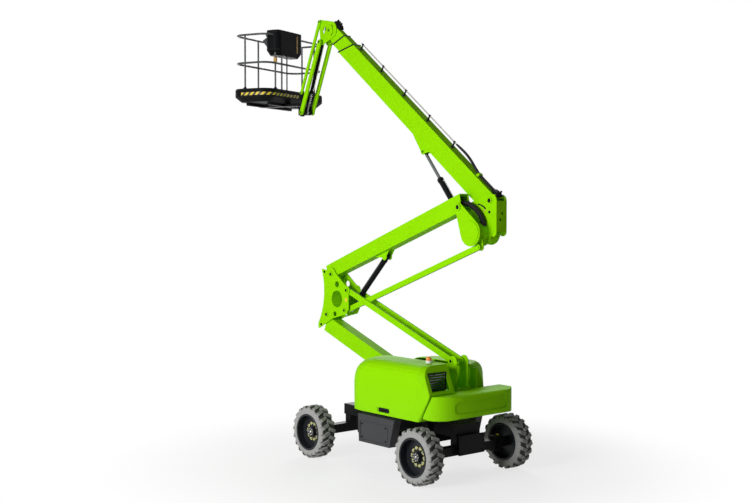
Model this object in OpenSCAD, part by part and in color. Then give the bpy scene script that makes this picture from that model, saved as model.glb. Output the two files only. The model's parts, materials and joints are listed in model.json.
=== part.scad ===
// Articulating boom lift: four-wheel chassis, slewing turret, two stacked lower booms,
// telescopic upper boom, jib and basket.
// Frame: +X forwards, +Y left, +Z up, origin on the ground under the slew axis.

/* [Chassis and wheels] */
// Overall width across the tyres
overall_width = 2250; // [2200:10:2350]
// Distance between the axles
wheelbase = 2684; // [2640:4:2760]
// Tyre radius at the lug tips
tyre_radius = 444; // [436:1:450]
// Tyre width
tyre_width = 300; // [280:5:310]
// Distance of the steering kingpins from the centreline
kingpin_y = 740; // [730:5:750]

/* [Turret] */
// Underside of the slewing deck
deck_bottom = 950; // [945:1:960]
// Outer face of the engine cowls, from the centreline
cowl_half_width = 950; // [920:5:980]
// Top of the left cowl
cowl_top = 1820; // [1780:5:1840]
// Top of the right cowl, which passes under the stowed upper boom
right_cowl_top = 1730; // [1680:5:1760]
// Rearmost point of the counterweight, behind the slew axis
tail_reach = 1750; // [1700:10:1800]

/* [Lower booms] */
// Length of the lower boom between its pins
lower_len = 2843; // [2700:1:2900]
// Length of the second boom between its pins
second_len = 3479; // [3300:1:3550]
// Angle of both lower booms in the photographed pose
boom_angle = 20.2; // [10:0.1:40]
// Width of the lower boom sections
lower_width = 200; // [180:2:204]

/* [Upper boom and jib] */
// Sideways offset of the upper boom, so that it stows beside the second boom
upper_y = -235; // [-245:1:-235]
// Elevation of the upper boom in the photographed pose
upper_angle = 37.7; // [20:0.1:60]
// Depth of the outer section
upper_depth = 332; // [320:1:340]
// Width of the outer section
upper_width = 165; // [160:1:168]
// Length of the jib between its pins
jib_len = 1367; // [1200:1:1500]
// Angle of the jib below the horizontal in the photographed pose
jib_drop = 65.9; // [50:0.1:70]

/* [Basket] */
// Width of the basket
basket_width = 2100; // [2000:10:2200]
// Depth of the basket
basket_depth = 850; // [800:10:900]
// Height of the top rail above the basket floor
rail_height = 1150; // [1100:10:1200]
// Turn of the basket about its rotator in the photographed pose
basket_yaw = 22; // [0:1:30]

/* [Hidden] */
$fn = 48;
lime = [0.55, 0.89, 0.0];
black = [0.05, 0.05, 0.055];
dark = [0.16, 0.16, 0.17];
steel = [0.55, 0.57, 0.6];
chrome = [0.8, 0.82, 0.84];
rubber = [0.6, 0.6, 0.6];
rim_grey = [0.22, 0.24, 0.28];
amber = [0.95, 0.5, 0.05];
white = [0.9, 0.9, 0.9];

// Running clearances
pin_gap = 0.5;
wear_gap = 8;

// Pins of the lower linkage, as x and z
lower_pin = [-584, 1361];
link_offset = [-569, 462];
post_pin = lower_pin + link_offset;
mid_lower_pin = lower_pin + lower_len * [cos(boom_angle), sin(boom_angle)];
mid_tie_pin = mid_lower_pin + link_offset;
mid_second_pin = mid_lower_pin + [-125, 726];
mid_stie_pin = mid_lower_pin + [-515, 106];
mid_tube = mid_lower_pin + [-297, 294];
link_second_pin = mid_second_pin + second_len * [-cos(boom_angle), sin(boom_angle)];
link_tie_pin = link_second_pin + mid_stie_pin - mid_second_pin;
link_tube = link_second_pin + [-266, -396];
upper_pin = link_second_pin + [-449, 103];
ucyl_base = link_second_pin + [128, -377];

// Lower sections, measured from the line between the pins
lower_top = -34;
lower_bottom = -316;
second_top = 195;
second_bottom = -55;
section_wall = 10;
tie_depth = 100;
stie_depth = 90;
tie_y = [83, 109];
stie_y = [30, 80];
plate_y = [115, 130];
pin_r = 25;
big_pin_r = 30;

// Lower lift cylinder, from its bracket under the second boom to the mid link
lift_y = -30;
lift_at = [-1400, -140];
lift_r = 45;
lift_rod_r = 27;
lift_base = mid_second_pin + turn(lift_at, -boom_angle);
lift_vec = mid_stie_pin - lift_base;
lift_rest = norm(lift_vec);
lift_dir = atan2(lift_vec[1], lift_vec[0]);
lift_barrel_len = 1010;
lift_rod_len = 1000;

// Upper boom sections, in its own frame at the pivot
upper_bottom = -240;
upper_top = upper_bottom + upper_depth;
upper_wall = 8;
mid_wall = 6;
mid_width = upper_width - 2 * upper_wall - 2 * wear_gap;
mid_z = [upper_bottom + upper_wall + wear_gap, upper_top - upper_wall - wear_gap];
inner_width = mid_width - 2 * mid_wall - 2 * wear_gap;
inner_z = [mid_z[0] + mid_wall + wear_gap, mid_z[1] - mid_wall - wear_gap];
outer_tip = [4410, 4700];
mid_tip = [4740, 4930];
nose_at = [5173, -84];
nose_pin = upper_pin + turn(nose_at, upper_angle);
ucyl_at = [1784, -350];
ucyl_pin = upper_pin + turn(ucyl_at, upper_angle);
ucyl_vec = ucyl_pin - ucyl_base;
ucyl_rest = norm(ucyl_vec);
ucyl_dir = atan2(ucyl_vec[1], ucyl_vec[0]);
ucyl_r = 48;
ucyl_rod_r = 28;
ucyl_barrel_len = 1085;
ucyl_rod_len = 1100;

// Jib
jib_pin = nose_pin + [202, -192];
jtie_pin = nose_pin + [249, 179];
jib_vec = jib_len * [cos(jib_drop), -sin(jib_drop)];
carrier_pin = jib_pin + jib_vec;
carrier_tie_pin = jtie_pin + jib_vec;
jib_bar_y = [112, 140];
jtie_y = [78, 104];
head_y = [58, 72];
jcyl_pin = jib_pin + [30, 120];
jcyl_vec = carrier_pin - jcyl_pin;
jcyl_rest = norm(jcyl_vec);
jcyl_dir = atan2(jcyl_vec[1], jcyl_vec[0]);
jcyl_r = 36;
jcyl_rod_r = 20;
jcyl_barrel_len = 1100;
jcyl_rod_len = 640;

// Basket
rotator_x = carrier_pin[0] + 150;
rotator_r = 75;
spindle_turn_r = 40;
basket_gap = 200;
basket_shift = -200;
tray_bottom = carrier_pin[1] + 184;
tray_top = tray_bottom + 240;
floor_z = tray_bottom + 80;
tray_r = 250;
rail_r = 19;
mid_rail_z = floor_z + 635;
top_rail_z = floor_z + rail_height;
rail_inset = 50;
rim_width = 80;
console_z = [top_rail_z - 370, top_rail_z + 90];
console_y = [-90, 795];
loom_y = 400;
// radius of the loom
loom_r = 12;
post_r = 17;
rear_posts = [740, -650];
front_posts = [180, -650];
end_post = 120;

// Wheels
axle_z = tyre_radius;
axle_x = wheelbase / 2;
wheel_y = (overall_width - tyre_width) / 2;
lug_height = 30;
carcass_r = tyre_radius - lug_height;
lug_width = 56;
lug_skew = 24;
lug_count = 20;
rim_r = 290;
flange_r = 310;
hub_r = 80;
spindle_r = 44;
disc_y = 20;

// Turret
deck_top = deck_bottom + 60;
deck_edge = 890;
beacon_at = [-1060, 520];
beacon_base_h = 42;
cowl_inner = 362;
cowl_front = 590;
cowl_bottom = 962;
cowl_wall = 12;
bulkhead_y = [345, 357];
weight_top = 1370;
// underside of the counterweight
weight_bottom = 1000;
// half width of the counterweight
weight_side = 940;
// Roundness of its tail: two over the power of the oval
weight_round = 0.57;
// rear edge of the left cowl at its foot
cowl_rear = -1290;
// how far the right cowl's rear edge is ahead of the left one
right_cowl_set = 260;
// foot of the left vent
vent_z = weight_top + 60;
// width and height of the left vent
left_vent = [380, cowl_top - 110 - vent_z];
// place of the right vent's lower rear corner, and its width and height
right_vent_at = [-600, 1190];
right_vent = [420, 280];

// A point turned about the origin of the x-z plane
function turn(p, a) = [p[0] * cos(a) - p[1] * sin(a), p[0] * sin(a) + p[1] * cos(a)];

// An x-z outline given thickness from y0 to y1
module slab(y0, y1) {
    translate([0, y1, 0]) rotate([90, 0, 0]) linear_extrude(y1 - y0) children();
}

// A round pin along y at an x-z point
module pin(p, r, y0, y1) {
    translate([p[0], y0, p[1]]) rotate([-90, 0, 0]) cylinder(r = r, h = y1 - y0);
}

// A disc outline at an x-z point
module dot(p, r) {
    translate(p) circle(r = r);
}

// A straight bar outline with round ends
module bar(p, q, w) {
    v = q - p;
    translate(p) rotate(atan2(v[1], v[0])) translate([0, -w / 2]) square([norm(v), w]);
    dot(p, w / 2);
    dot(q, w / 2);
}

// A tapered outline between two discs
module taper(p, rp, q, rq) {
    v = q - p;
    a = atan2(v[1], v[0]);
    b = acos((rp - rq) / norm(v));
    polygon([
        p + rp * [cos(a + b), sin(a + b)], q + rq * [cos(a + b), sin(a + b)],
        q + rq * [cos(a - b), sin(a - b)], p + rp * [cos(a - b), sin(a - b)]
    ]);
    dot(p, rp);
    dot(q, rq);
}

// A rounded rectangle outline about the origin
module round_rect(w, d, r) {
    square([w - 2 * r, d], center = true);
    square([w, d - 2 * r], center = true);
    for (sx = [-1, 1]) for (sy = [-1, 1]) translate([sx * (w / 2 - r), sy * (d / 2 - r)]) circle(r = r);
}

// Both sides of the machine
module sides() {
    children();
    mirror([0, 1, 0]) children();
}

// A frame at an x-z point, with its x axis at an angle above the horizontal
module along(p, a) {
    translate([p[0], 0, p[1]]) rotate([0, -a, 0]) children();
}

// A cylinder along the local x axis
module rod(x0, x1, r) {
    translate([x0, 0, 0]) rotate([0, 90, 0]) cylinder(r = r, h = x1 - x0);
}

// Chassis

module chassis_frame() color(black) {
    body_x = 900;
    body_y = 400;
    arm_x = axle_x + 60;
    arm_z = 660;
    difference() {
        union() {
            translate([-body_x, -body_y, 500]) cube([2 * body_x, 2 * body_y, 340]);
            for (s = [-1, 1]) translate([min(s * body_x, s * arm_x), -270, arm_z])
                cube([arm_x - body_x, 540, 840 - arm_z]);
            translate([0, 0, 840]) cylinder(r = 420, h = 50);
            for (s = [-1, 1]) sides() slab(body_y, body_y + 25) {
                dot([s * 800, 470], 45);
                translate([s * 800 - 45, 470]) square([90, 130]);
            }
        }
        for (s = [-1, 1]) sides() pin([s * 800, 470], 22, body_y - 1, body_y + 26);
        for (s = [-1, 1]) sides() translate([s * 800 - 70, body_y - 60, 400]) cube([140, 60, 128]);
    }
}

// Brackets that carry the side covers
module cover_brackets() color(black) {
    for (x = [-560, -60]) sides() translate([x, 400, 600]) cube([80, 450, 60]);
}

module side_covers() color(dark) {
    sides() difference() {
        slab(850, 1000) polygon([[-655, 470], [100, 470], [120, 920], [-780, 920]]);
        slab(994, 1001) polygon([[-600, 520], [60, 520], [60, 800], [-600, 800]]);
    }
}

module front_axle() color(black) {
    translate([axle_x - 80, -wheel_y + 150, axle_z - 75]) cube([160, 2 * wheel_y - 300, 150]);
    translate([axle_x - 80, -240, axle_z + 75]) cube([140, 480, 660 - axle_z - 75]);
    sides() pin([axle_x, axle_z], 105, wheel_y - 150, wheel_y - 70);
    sides() pin([axle_x, axle_z], spindle_r, wheel_y - 70, wheel_y + 40);
}

module rear_axle() color(black) {
    x = -axle_x;
    translate([x - 75, -600, axle_z - 70]) cube([150, 1200, 140]);
    translate([x - 60, -240, axle_z + 70]) cube([140, 480, 660 - axle_z - 70]);
    translate([x - 160, -280, 380]) cube([20, 560, 310]);
    translate([x - 140, -200, 400]) cube([65, 400, 60]);
    sides() difference() {
        translate([x - 60, 600, axle_z - 125]) cube([120, kingpin_y - 540, 250]);
        translate([x - 61, 640, axle_z - 92]) cube([122, kingpin_y - 500, 184]);
        translate([x, kingpin_y, axle_z - 130]) cylinder(r = 30.5, h = 260);
    }
    difference() {
        union() {
            pin([x + 170, axle_z - 44], 42, -230, 230);
            sides() translate([x + 70, 120, axle_z - 70]) cube([80, 60, 50]);
        }
        pin([x + 170, axle_z - 44], 26, -231, 231);
    }
}

module knuckle(side) color(black) {
    x = -axle_x;
    arm = [x + 170, side * (kingpin_y - 30)];
    translate([x, side * kingpin_y, axle_z - 120]) cylinder(r = 30, h = 240);
    translate([x - 55, side > 0 ? kingpin_y - 50 : -kingpin_y - 35, axle_z - 86]) cube([110, 85, 172]);
    scale([1, side, 1]) {
        pin([x, axle_z], 80, kingpin_y + 35, wheel_y - 62);
        pin([x, axle_z], spindle_r, wheel_y - 62, wheel_y + 40);
    }
    translate([0, 0, axle_z - 12]) linear_extrude(24) bar([x, side * kingpin_y], arm, 50);
    translate([arm[0], arm[1], axle_z - 62]) cylinder(r = 9, h = 50);
}

module knuckle_left() knuckle(1);
module knuckle_right() knuckle(-1);

module steering_rod() color(chrome) {
    x = -axle_x + 170;
    z = axle_z - 44;
    difference() {
        union() {
            pin([x, z], 25, -660, 660);
            for (s = [-1, 1]) translate([x - 60, s * (kingpin_y - 30) - 45 - s * 20, z - 15]) cube([90, 90, 30]);
        }
        for (s = [-1, 1]) translate([x, s * (kingpin_y - 30), z - 20]) {
            cylinder(r = 16, h = 40);
            translate([-36, -16, 0]) cube([36, 32, 40]);
            translate([-36, 0, 0]) cylinder(r = 16, h = 40);
        }
    }
}

module slew_ring() color(dark) {
    difference() {
        translate([0, 0, 890]) cylinder(r = 430, h = deck_bottom - 891);
        translate([0, 0, 880]) cylinder(r = 300, h = 100);
    }
}

// Wheels

// A body of revolution about the axle, with its outline as radius and offset outwards
module wheel_turn(at_x, side) {
    translate([at_x, side * wheel_y, axle_z]) rotate([-90 * side, 0, 0]) rotate_extrude($fn = 72) children();
}

// One lug in the tyre's own frame: from the middle of the tread out over the shoulder
module lug(side) {
    w = tyre_width / 2;
    tip = sqrt(pow(tyre_radius, 2) - pow(lug_width / 2, 2));
    scale([1, 1, side]) translate([0, 0, w / 2]) rotate([lug_skew, 0, 0]) translate([0, lug_width / 2, -w / 2])
        rotate([90, 0, 0]) linear_extrude(lug_width) polygon([
            [carcass_r - 12, -8], [tip, -8], [tip, w - 40], [tip - 26, w - 8], [carcass_r - 50, w - 8],
            [carcass_r - 50, w - 30]
        ]);
}

module tyre(at_x, side) color(rubber) {
    w = tyre_width / 2 - 8;
    shoulder = 46;
    wheel_turn(at_x, side) {
        translate([rim_r + 0.5, -w + 10]) square([flange_r - rim_r, 2 * w - 20]);
        translate([flange_r, -w]) square([carcass_r - flange_r - shoulder, 2 * w]);
        translate([flange_r, -w + shoulder]) square([carcass_r - flange_r, 2 * w - 2 * shoulder]);
        for (s = [-1, 1]) translate([carcass_r - shoulder, s * (w - shoulder)]) circle(r = shoulder);
    }
    translate([at_x, side * wheel_y, axle_z]) rotate([-90 * side, 0, 0])
        for (i = [0 : lug_count - 1]) rotate([0, 0, 360 * i / lug_count]) {
            lug(1);
            rotate([0, 0, 180 / lug_count]) lug(-1);
        }
}

module rim(at_x, side) color(rim_grey) {
    w = tyre_width / 2;
    wheel_turn(at_x, side) {
        translate([rim_r - 12, -w + 4]) square([12, 2 * w - 8]);
        for (s = [-1, 1]) translate([rim_r - 12, s * (w - 8) - 5]) square([flange_r - rim_r + 10, 10]);
        translate([hub_r - 1, disc_y - 14]) square([rim_r - hub_r - 10, 14]);
        translate([spindle_r + 1, -60]) square([hub_r - spindle_r - 1, 100]);
        translate([0, 42]) square([hub_r, 34]);
        translate([spindle_r + 1, 38]) square([hub_r - spindle_r - 1, 5]);
    }
}

module tyre_front_left() tyre(axle_x, 1);
module tyre_front_right() tyre(axle_x, -1);
module tyre_rear_left() tyre(-axle_x, 1);
module tyre_rear_right() tyre(-axle_x, -1);
module rim_front_left() rim(axle_x, 1);
module rim_front_right() rim(axle_x, -1);
module rim_rear_left() rim(-axle_x, 1);
module rim_rear_right() rim(-axle_x, -1);

// Turret

module turret_deck() color(lime) {
    rear_x = -1250;
    front_x = 540;
    front_r = 400;
    translate([0, 0, deck_bottom]) linear_extrude(deck_top - deck_bottom) {
        translate([rear_x, -deck_edge]) square([front_x - front_r - rear_x, 2 * deck_edge]);
        translate([front_x - front_r, -deck_edge + front_r]) square([front_r, 2 * deck_edge - 2 * front_r]);
        for (s = [-1, 1]) translate([front_x - front_r, s * (deck_edge - front_r)]) circle(r = front_r);
    }
    sides() {
        slab(bulkhead_y[0], bulkhead_y[1]) polygon([
            [-1250, deck_top - 1], [520, deck_top - 1], [470, 1340], [120, 1650], [-200, 1685], [-1250, 1685]
        ]);
        slab(118, 143) {
            dot(lower_pin, 70);
            polygon([lower_pin + [-60, 10], lower_pin + [60, 10], [lower_pin[0] + 150, deck_top - 1],
                [lower_pin[0] - 150, deck_top - 1]]);
        }
    }
    pin(lower_pin, big_pin_r, -150, 150);
}

module turret_post() color(lime) {
    x0 = post_pin[0] - 130;
    x1 = post_pin[0] + 70;
    foot_z = weight_top - 8;
    translate([-1395, -330, deck_top]) cube([360, 660, foot_z - deck_top]);
    sides() {
        slab(plate_y[0] + 3, plate_y[1]) {
            translate([x0, foot_z]) square([x1 - x0, post_pin[1] - foot_z]);
            taper([post_pin[0] - 40, post_pin[1]], 88, [post_pin[0] + 10, post_pin[1]], 60);
        }
        translate([post_pin[0] - 110, plate_y[1], foot_z]) rotate([90, 0, 90])
            linear_extrude(20) polygon([[0, 0], [90, 0], [0, 170]]);
    }
    translate([x0, -118, foot_z]) cube([18, 236, 40]);
    pin(post_pin, pin_r, -140, 140);
}

// Plan of the counterweight, drawn in by an inset: a rounded tail on a straight front
function weight_plan(inset) = [for (a = [-90:5:90]) [
    -1000 - (tail_reach - 1000 - inset) * pow(cos(a), weight_round),
    (weight_side - inset) * sign(a) * pow(abs(sin(a)), weight_round)
]];

// Corners of a rounded rectangle, centred
function rounded(w, h, r) = [for (k = [0:3]) for (a = [0:15:90])
    [[1, -1, -1, 1][k] * (w / 2 - r), [1, 1, -1, -1][k] * (h / 2 - r)] + r * [cos(90 * k + a), sin(90 * k + a)]];

module counterweight() color(lime) {
    edge_r = 90;
    slack = 4;
    height = weight_top - weight_bottom;
    mid_z = weight_bottom + height / 2;
    length = 1400;
    back = -tail_reach - 100;
    foot = [-1340, -1510];
    wing_y = 364;
    recess = [1150, 190];
    recess_depth = 14;
    difference() {
        intersection() {
            translate([0, 0, weight_bottom - slack]) linear_extrude(height + 2 * slack) polygon(weight_plan(0));
            slab(-weight_side - slack, weight_side + slack)
                translate([length / 2 - tail_reach - slack, mid_z]) polygon(rounded(length, height, edge_r));
            translate([back, 0, mid_z]) rotate([90, 0, 90]) linear_extrude(length)
                polygon(rounded(2 * (weight_side + slack), height + slack, edge_r));
            union() {
                slab(-335, 335) polygon([
                    [-1395, weight_bottom - 1], [-1395, weight_top + 1], [back, weight_top + 1], [back, weight_bottom - 1]
                ]);
                for (y = [[334, weight_side + 1], [-wing_y, -334]]) slab(y[0], y[1]) polygon([
                    [foot[0], weight_bottom - 1], [foot[1], weight_top + 1], [back, weight_top + 1],
                    [back, weight_bottom - 1]
                ]);
                slab(-weight_side - 1, -wing_y + 1) polygon([
                    [foot[0], weight_bottom - 1], [foot[0], deck_top], [foot[0] + right_cowl_set, deck_top],
                    [foot[1] + right_cowl_set, weight_top + 1], [back, weight_top + 1], [back, weight_bottom - 1]
                ]);
            }
        }
        difference() {
            translate([back, 0, mid_z]) rotate([90, 0, 90]) linear_extrude(length / 2)
                polygon(rounded(recess[0], recess[1], recess[1] / 2 - 1));
            translate([0, 0, 500]) linear_extrude(1500) polygon(weight_plan(recess_depth));
        }
    }
}

// Outside of a cowl, drawn in by a wall, with its rear edge and rear corner
module cowl_form(top, t, rear, rear_r) {
    front_r = 530;
    edge_r = 200;
    corner = [490, 290];
    slice = 0.1;
    base = cowl_bottom - (t > 0 ? 20 : 0);
    shoulder = top - front_r;
    intersection() {
        translate([-2000, cowl_inner, 0]) cube([4000, 1000, 2000]);
        hull() for (a = [-1:9]) {
            f = max(a, 0) * 10;
            z = (a < 0 ? base : shoulder + (front_r - t) * sin(f)) - slice;
            x = cowl_front - t - (front_r - t) * (1 - cos(f));
            over = max(0, z - (top - edge_r));
            y = cowl_half_width - edge_r + sqrt(max(0, pow(edge_r - t, 2) - over * over));
            side = min(y, cowl_half_width - t);
            r = corner[0] + (corner[1] - corner[0]) * f / 90 - t;
            translate([x - r, side - r, z]) cylinder(r = r, h = slice, $fn = 36);
            lean = max(-197 * max(0, z - cowl_bottom) / (weight_top + 8 - cowl_bottom),
                -197 + 0.4 * max(0, z - weight_top));
            translate([rear + t + lean, cowl_inner, z]) cube([200, side + t - cowl_inner - rear_r, slice]);
            translate([rear + rear_r, side + t - rear_r, z]) cylinder(r = rear_r - t, h = slice);
            translate([x - r, cowl_inner, z]) cube([r, 10, slice]);
        }
    }
}

// Hinged cowl with a latch recess and hinge barrels; children cut its vent
module cowl_shell(top, rear, rear_r, latch_x) {
    latch = [[latch_x - 115, 1037], [latch_x + 115, 1037]];
    latch_h = 90;
    barrel_r = 12;
    difference() {
        cowl_form(top, 0, rear, rear_r);
        translate([0, -5, 0]) cowl_form(top, cowl_wall, rear, rear_r);
        children();
        slab(cowl_half_width - 20, cowl_half_width + 20) bar(latch[0], latch[1], latch_h);
    }
    slab(cowl_half_width - 26, cowl_half_width - 11) bar(latch[0], latch[1], latch_h + 20);
    for (x = [-900, -250]) translate([x, cowl_inner, top - 20]) rotate([0, 90, 0]) cylinder(r = barrel_r, h = 160);
}

module cowl_left() color(lime) cowl_shell(cowl_top, cowl_rear, 60, -460)
    translate([-1520, 440, vent_z]) cube([240, left_vent[0], left_vent[1]]);

// The right cowl stops short of the tail, so its rear wall stands on the deck and clears it
module cowl_right() color(lime) mirror([0, 1, 0]) {
    rear_r = 420;
    clear = 6;
    cowl_shell(right_cowl_top, cowl_rear + right_cowl_set, rear_r, -390) {
        translate([right_vent_at[0], cowl_half_width - 40, right_vent_at[1]])
            cube([right_vent[0], 60, right_vent[1]]);
        translate([cowl_rear, 0, deck_bottom]) cube([right_cowl_set + rear_r + 10, deck_edge + clear,
            deck_top - deck_bottom + clear]);
    }
}

// Slatted vent that fills an opening of a width and height
module vent(size) color(black) {
    slats = 6;
    depth = 20;
    border = 12;
    for (z = [0, size[1] - border]) translate([0, 0, z]) cube([size[0], depth, border]);
    for (x = [0, size[0] - border]) translate([x, 0, 0]) cube([border, depth, size[1]]);
    for (i = [1:slats]) translate([border - 4, 0, i * size[1] / (slats + 1) - 5]) cube([size[0] - 2 * border + 8, depth, 10]);
}

module vent_left() translate([-1352, 440, vent_z]) rotate([0, 0, 90]) vent(left_vent);
module vent_right() mirror([0, 1, 0])
    translate([right_vent_at[0], cowl_half_width - 19, right_vent_at[1]]) vent(right_vent);

module beacon_base() color(white) translate([beacon_at[0], beacon_at[1], cowl_top])
    cylinder(r = 55, h = beacon_base_h);

module beacon_lens() color(amber) translate([beacon_at[0], beacon_at[1], cowl_top + beacon_base_h]) {
    lens_r = 46;
    lens_h = 16;
    cylinder(r = lens_r, h = lens_h);
    translate([0, 0, lens_h]) intersection() {
        sphere(r = lens_r);
        cylinder(r = lens_r + 2, h = lens_r + 2);
    }
}

module engine_block() color(dark) {
    translate([-860, -780, deck_top]) cube([660, 380, 520]);
}

module hydraulic_tank() color(dark) {
    translate([-900, 400, deck_top]) cube([700, 380, 480]);
}

// Lower linkage

module lower_boom() color(lime) {
    half = lower_width / 2;
    wall = section_wall;
    along(lower_pin, boom_angle) difference() {
        union() {
            sides() slab(half - wall, half) {
                translate([30, lower_bottom]) square([lower_len - 30, lower_top - lower_bottom]);
                for (m = [0, 1]) translate([m * lower_len, 0]) mirror([m, 0]) {
                    dot([0, 0], 50);
                    polygon([[-44, 6], [44, 6], [130, -60], [130, -230], [18, -230]]);
                }
            }
            for (z = [lower_top - wall, lower_bottom]) translate([60, -half + 1, z])
                cube([lower_len - 120, lower_width - 2, wall]);
            pin([0, 0], 42, -half + 1, half - 1);
            pin([lower_len, 0], 42, -half + 1, half - 1);
        }
        pin([0, 0], big_pin_r + pin_gap, -half - 1, half + 1);
        pin([lower_len, 0], big_pin_r + pin_gap, -half - 1, half + 1);
    }
}

module lower_ties() color(lime) {
    sides() difference() {
        slab(tie_y[0], tie_y[1]) bar(post_pin, mid_tie_pin, tie_depth);
        pin(post_pin, pin_r + pin_gap, 0, 200);
        pin(mid_tie_pin, pin_r + pin_gap, 0, 200);
    }
}

module mid_link() color(lime) {
    o = mid_lower_pin;
    notch_r = 1100;
    sides() slab(plate_y[0], plate_y[1]) difference() {
            union() {
                polygon([
                    o + [190, 820], o + [250, -255], o + [215, -262], o + [-190, -55], o + [-545, 35],
                    o + [-625, 130], o + [-625, 480], o + [-560, 530], o + [-235, 770]
                ]);
                dot(mid_second_pin, 120);
                dot(mid_stie_pin, 80);
                dot(mid_tie_pin, 80);
            }
            dot(o + [75 + notch_r, 420], notch_r);
            dot(mid_tube, 150);
            dot(o + [-300, 555], 55);
            dot(o + [-240, 25], 45);
        }
    difference() {
        pin(mid_tube, 165, -plate_y[1], plate_y[1]);
        pin(mid_tube, 150, -plate_y[1] - 1, plate_y[1] + 1);
    }
    pin(mid_lower_pin, big_pin_r, -140, 140);
    pin(mid_second_pin, big_pin_r, -140, 140);
    sides() pin(mid_tie_pin, pin_r, 84, 138);
    pin(mid_stie_pin, pin_r, 15, 138);
}

module second_boom() color(lime) {
    half = lower_width / 2;
    lug = [[lift_y - 64, lift_y - 52], [lift_y + 52, lift_y + 64]];
    along(mid_second_pin, -boom_angle) difference() {
        union() {
            difference() {
                slab(-half, half) polygon([
                    [-second_len - 70, second_top + 5], [120, second_top], [120, second_bottom + 20],
                    [60, second_bottom], [-second_len + 40, second_bottom - 20], [-second_len - 30, -40]
                ]);
                translate([-second_len - 200, -half + section_wall, second_bottom + section_wall])
                    cube([second_len + 100, lower_width - 2 * section_wall, second_top - second_bottom - 2 * section_wall]);
            }
            for (y = lug) slab(y[0], y[1]) {
                dot(lift_at, 55);
                polygon([lift_at + [-55, 0], lift_at + [55, 0], [lift_at[0] + 260, second_bottom + 5],
                    [lift_at[0] - 180, second_bottom + 5]]);
            }
            pin(lift_at, 22, lift_y - 66, lift_y + 66);
        }
        pin([0, 0], big_pin_r + pin_gap, -half - 1, half + 1);
        pin([-second_len, 0], big_pin_r + pin_gap, -half - 1, half + 1);
    }
}

module second_tie() color(lime) {
    difference() {
        slab(stie_y[0], stie_y[1]) bar(mid_stie_pin, link_tie_pin, stie_depth);
        pin(mid_stie_pin, pin_r + pin_gap, 0, 100);
        pin(link_tie_pin, pin_r + pin_gap, 0, 100);
    }
}

module lift_barrel() color(black) translate([0, lift_y, 0]) along(lift_base, lift_dir) difference() {
    union() {
        pin([0, 0], 45, -25, 25);
        rod(20, lift_barrel_len, lift_r);
        rod(lift_barrel_len - 60, lift_barrel_len, lift_r + 5);
    }
    pin([0, 0], 22 + pin_gap, -50, 50);
    rod(90, lift_barrel_len + 1, lift_rod_r + 2);
}

module lift_rod() color(chrome) translate([0, lift_y, 0]) along(lift_base, lift_dir) {
    rod(lift_rest - lift_rod_len, lift_rest - 28, lift_rod_r);
    pin([lift_rest, 0], 38, -22, 22);
    pin([lift_rest, 0], 20, -32, 32);
}

// Upper linkage

module upper_link() color(lime) {
    cheek = [115, 130];
    far_plate = [-145, -115];
    rear_x = upper_pin[0] - 150;
    web_z = [link_tube[1] + 15, upper_pin[1] - 5];
    web_holes = [[-248, upper_pin[1] - 200], [-204, upper_pin[1] - 294]];
    difference() {
        union() {
            slab(cheek[0], cheek[1]) taper(link_tube, 215, link_second_pin, 75);
            slab(far_plate[0], far_plate[1]) {
                taper(link_tube, 215, link_second_pin, 75);
                polygon([
                    link_tube + [190, 60], link_second_pin + [60, 30], upper_pin + [120, 95], upper_pin + [-110, 95],
                    upper_pin + [-110, -300], link_tube + [-200, 0]
                ]);
            }
            slab(-342, -327) {
                taper(link_tube, 200, upper_pin + [0, 0], 110);
            }
            pin(link_tube, 170, -342, 130);
            pin(link_tube, 188, 130, 142);
            slab(2, 22) taper(link_tube, 168, link_tie_pin, 58);
            for (y = [[-68, -54], [54, 68]]) translate([0, upper_y, 0]) slab(y[0], y[1])
                taper(link_tube, 170, ucyl_base, 55);
        }
        pin(link_tube, 150, -360, 100);
    }
    for (y = [[-342, -327], [-130, -115]]) slab(y[0], y[1])
        taper([rear_x + 75, web_z[0]], 75, [rear_x + 95, web_z[1]], 95);
    translate([rear_x, 0, 0]) rotate([90, 0, 90]) linear_extrude(14) difference() {
        translate([-342, web_z[0]]) square([227, web_z[1] - web_z[0]]);
        for (h = web_holes) dot(h, 26);
    }
    pin(link_second_pin, big_pin_r, -145, 145);
    pin(link_tie_pin, pin_r, 10, 92);
    pin(upper_pin, big_pin_r, -350, -105);
    translate([0, upper_y, 0]) sides() pin(ucyl_base, 30, 54, 74);
}

// A hollow section with a slanted tip, in the upper boom's frame
module section(x0, tip, width, z0, z1, wall) {
    translate([0, upper_y, 0]) difference() {
        slab(-width / 2, width / 2) polygon([[x0, z0], [tip[1], z0], [tip[0], z1], [x0, z1]]);
        translate([x0 - 1, -width / 2 + wall, z0 + wall])
            cube([tip[1] - x0 + 2, width - 2 * wall, z1 - z0 - 2 * wall]);
    }
}

// A slanted band round the tip of a section
module collar(tip, width, z0, z1, proud, len) {
    translate([0, upper_y, 0]) difference() {
        slab(-width / 2 - proud, width / 2 + proud) polygon([
            [tip[1] - len, z0 - proud], [tip[1] + 4, z0 - proud], [tip[0] + 4, z1 + proud], [tip[0] - len, z1 + proud]
        ]);
        translate([tip[0] - 400, -width / 2, z0]) cube([1200, width, z1 - z0]);
    }
}

module upper_boom() color(lime) along(upper_pin, upper_angle) {
    difference() {
        union() {
            section(-60, outer_tip, upper_width, upper_bottom, upper_top, upper_wall);
            translate([0, upper_y, 0]) pin([0, 0], 60, -upper_width / 2, upper_width / 2);
            translate([0, upper_y, 0]) for (y = [[-50, -35], [35, 50]]) slab(y[0], y[1]) {
                dot(ucyl_at, 48);
                polygon([ucyl_at + [-48, 0], ucyl_at + [40, -26], [2250, upper_bottom + 4], [1640, upper_bottom + 4]]);
            }
        }
        translate([0, upper_y, 0]) pin([0, 0], big_pin_r + pin_gap, -upper_width, upper_width);
    }
    translate([0, upper_y, 0]) pin(ucyl_at, 22, -56, 56);
}

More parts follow.
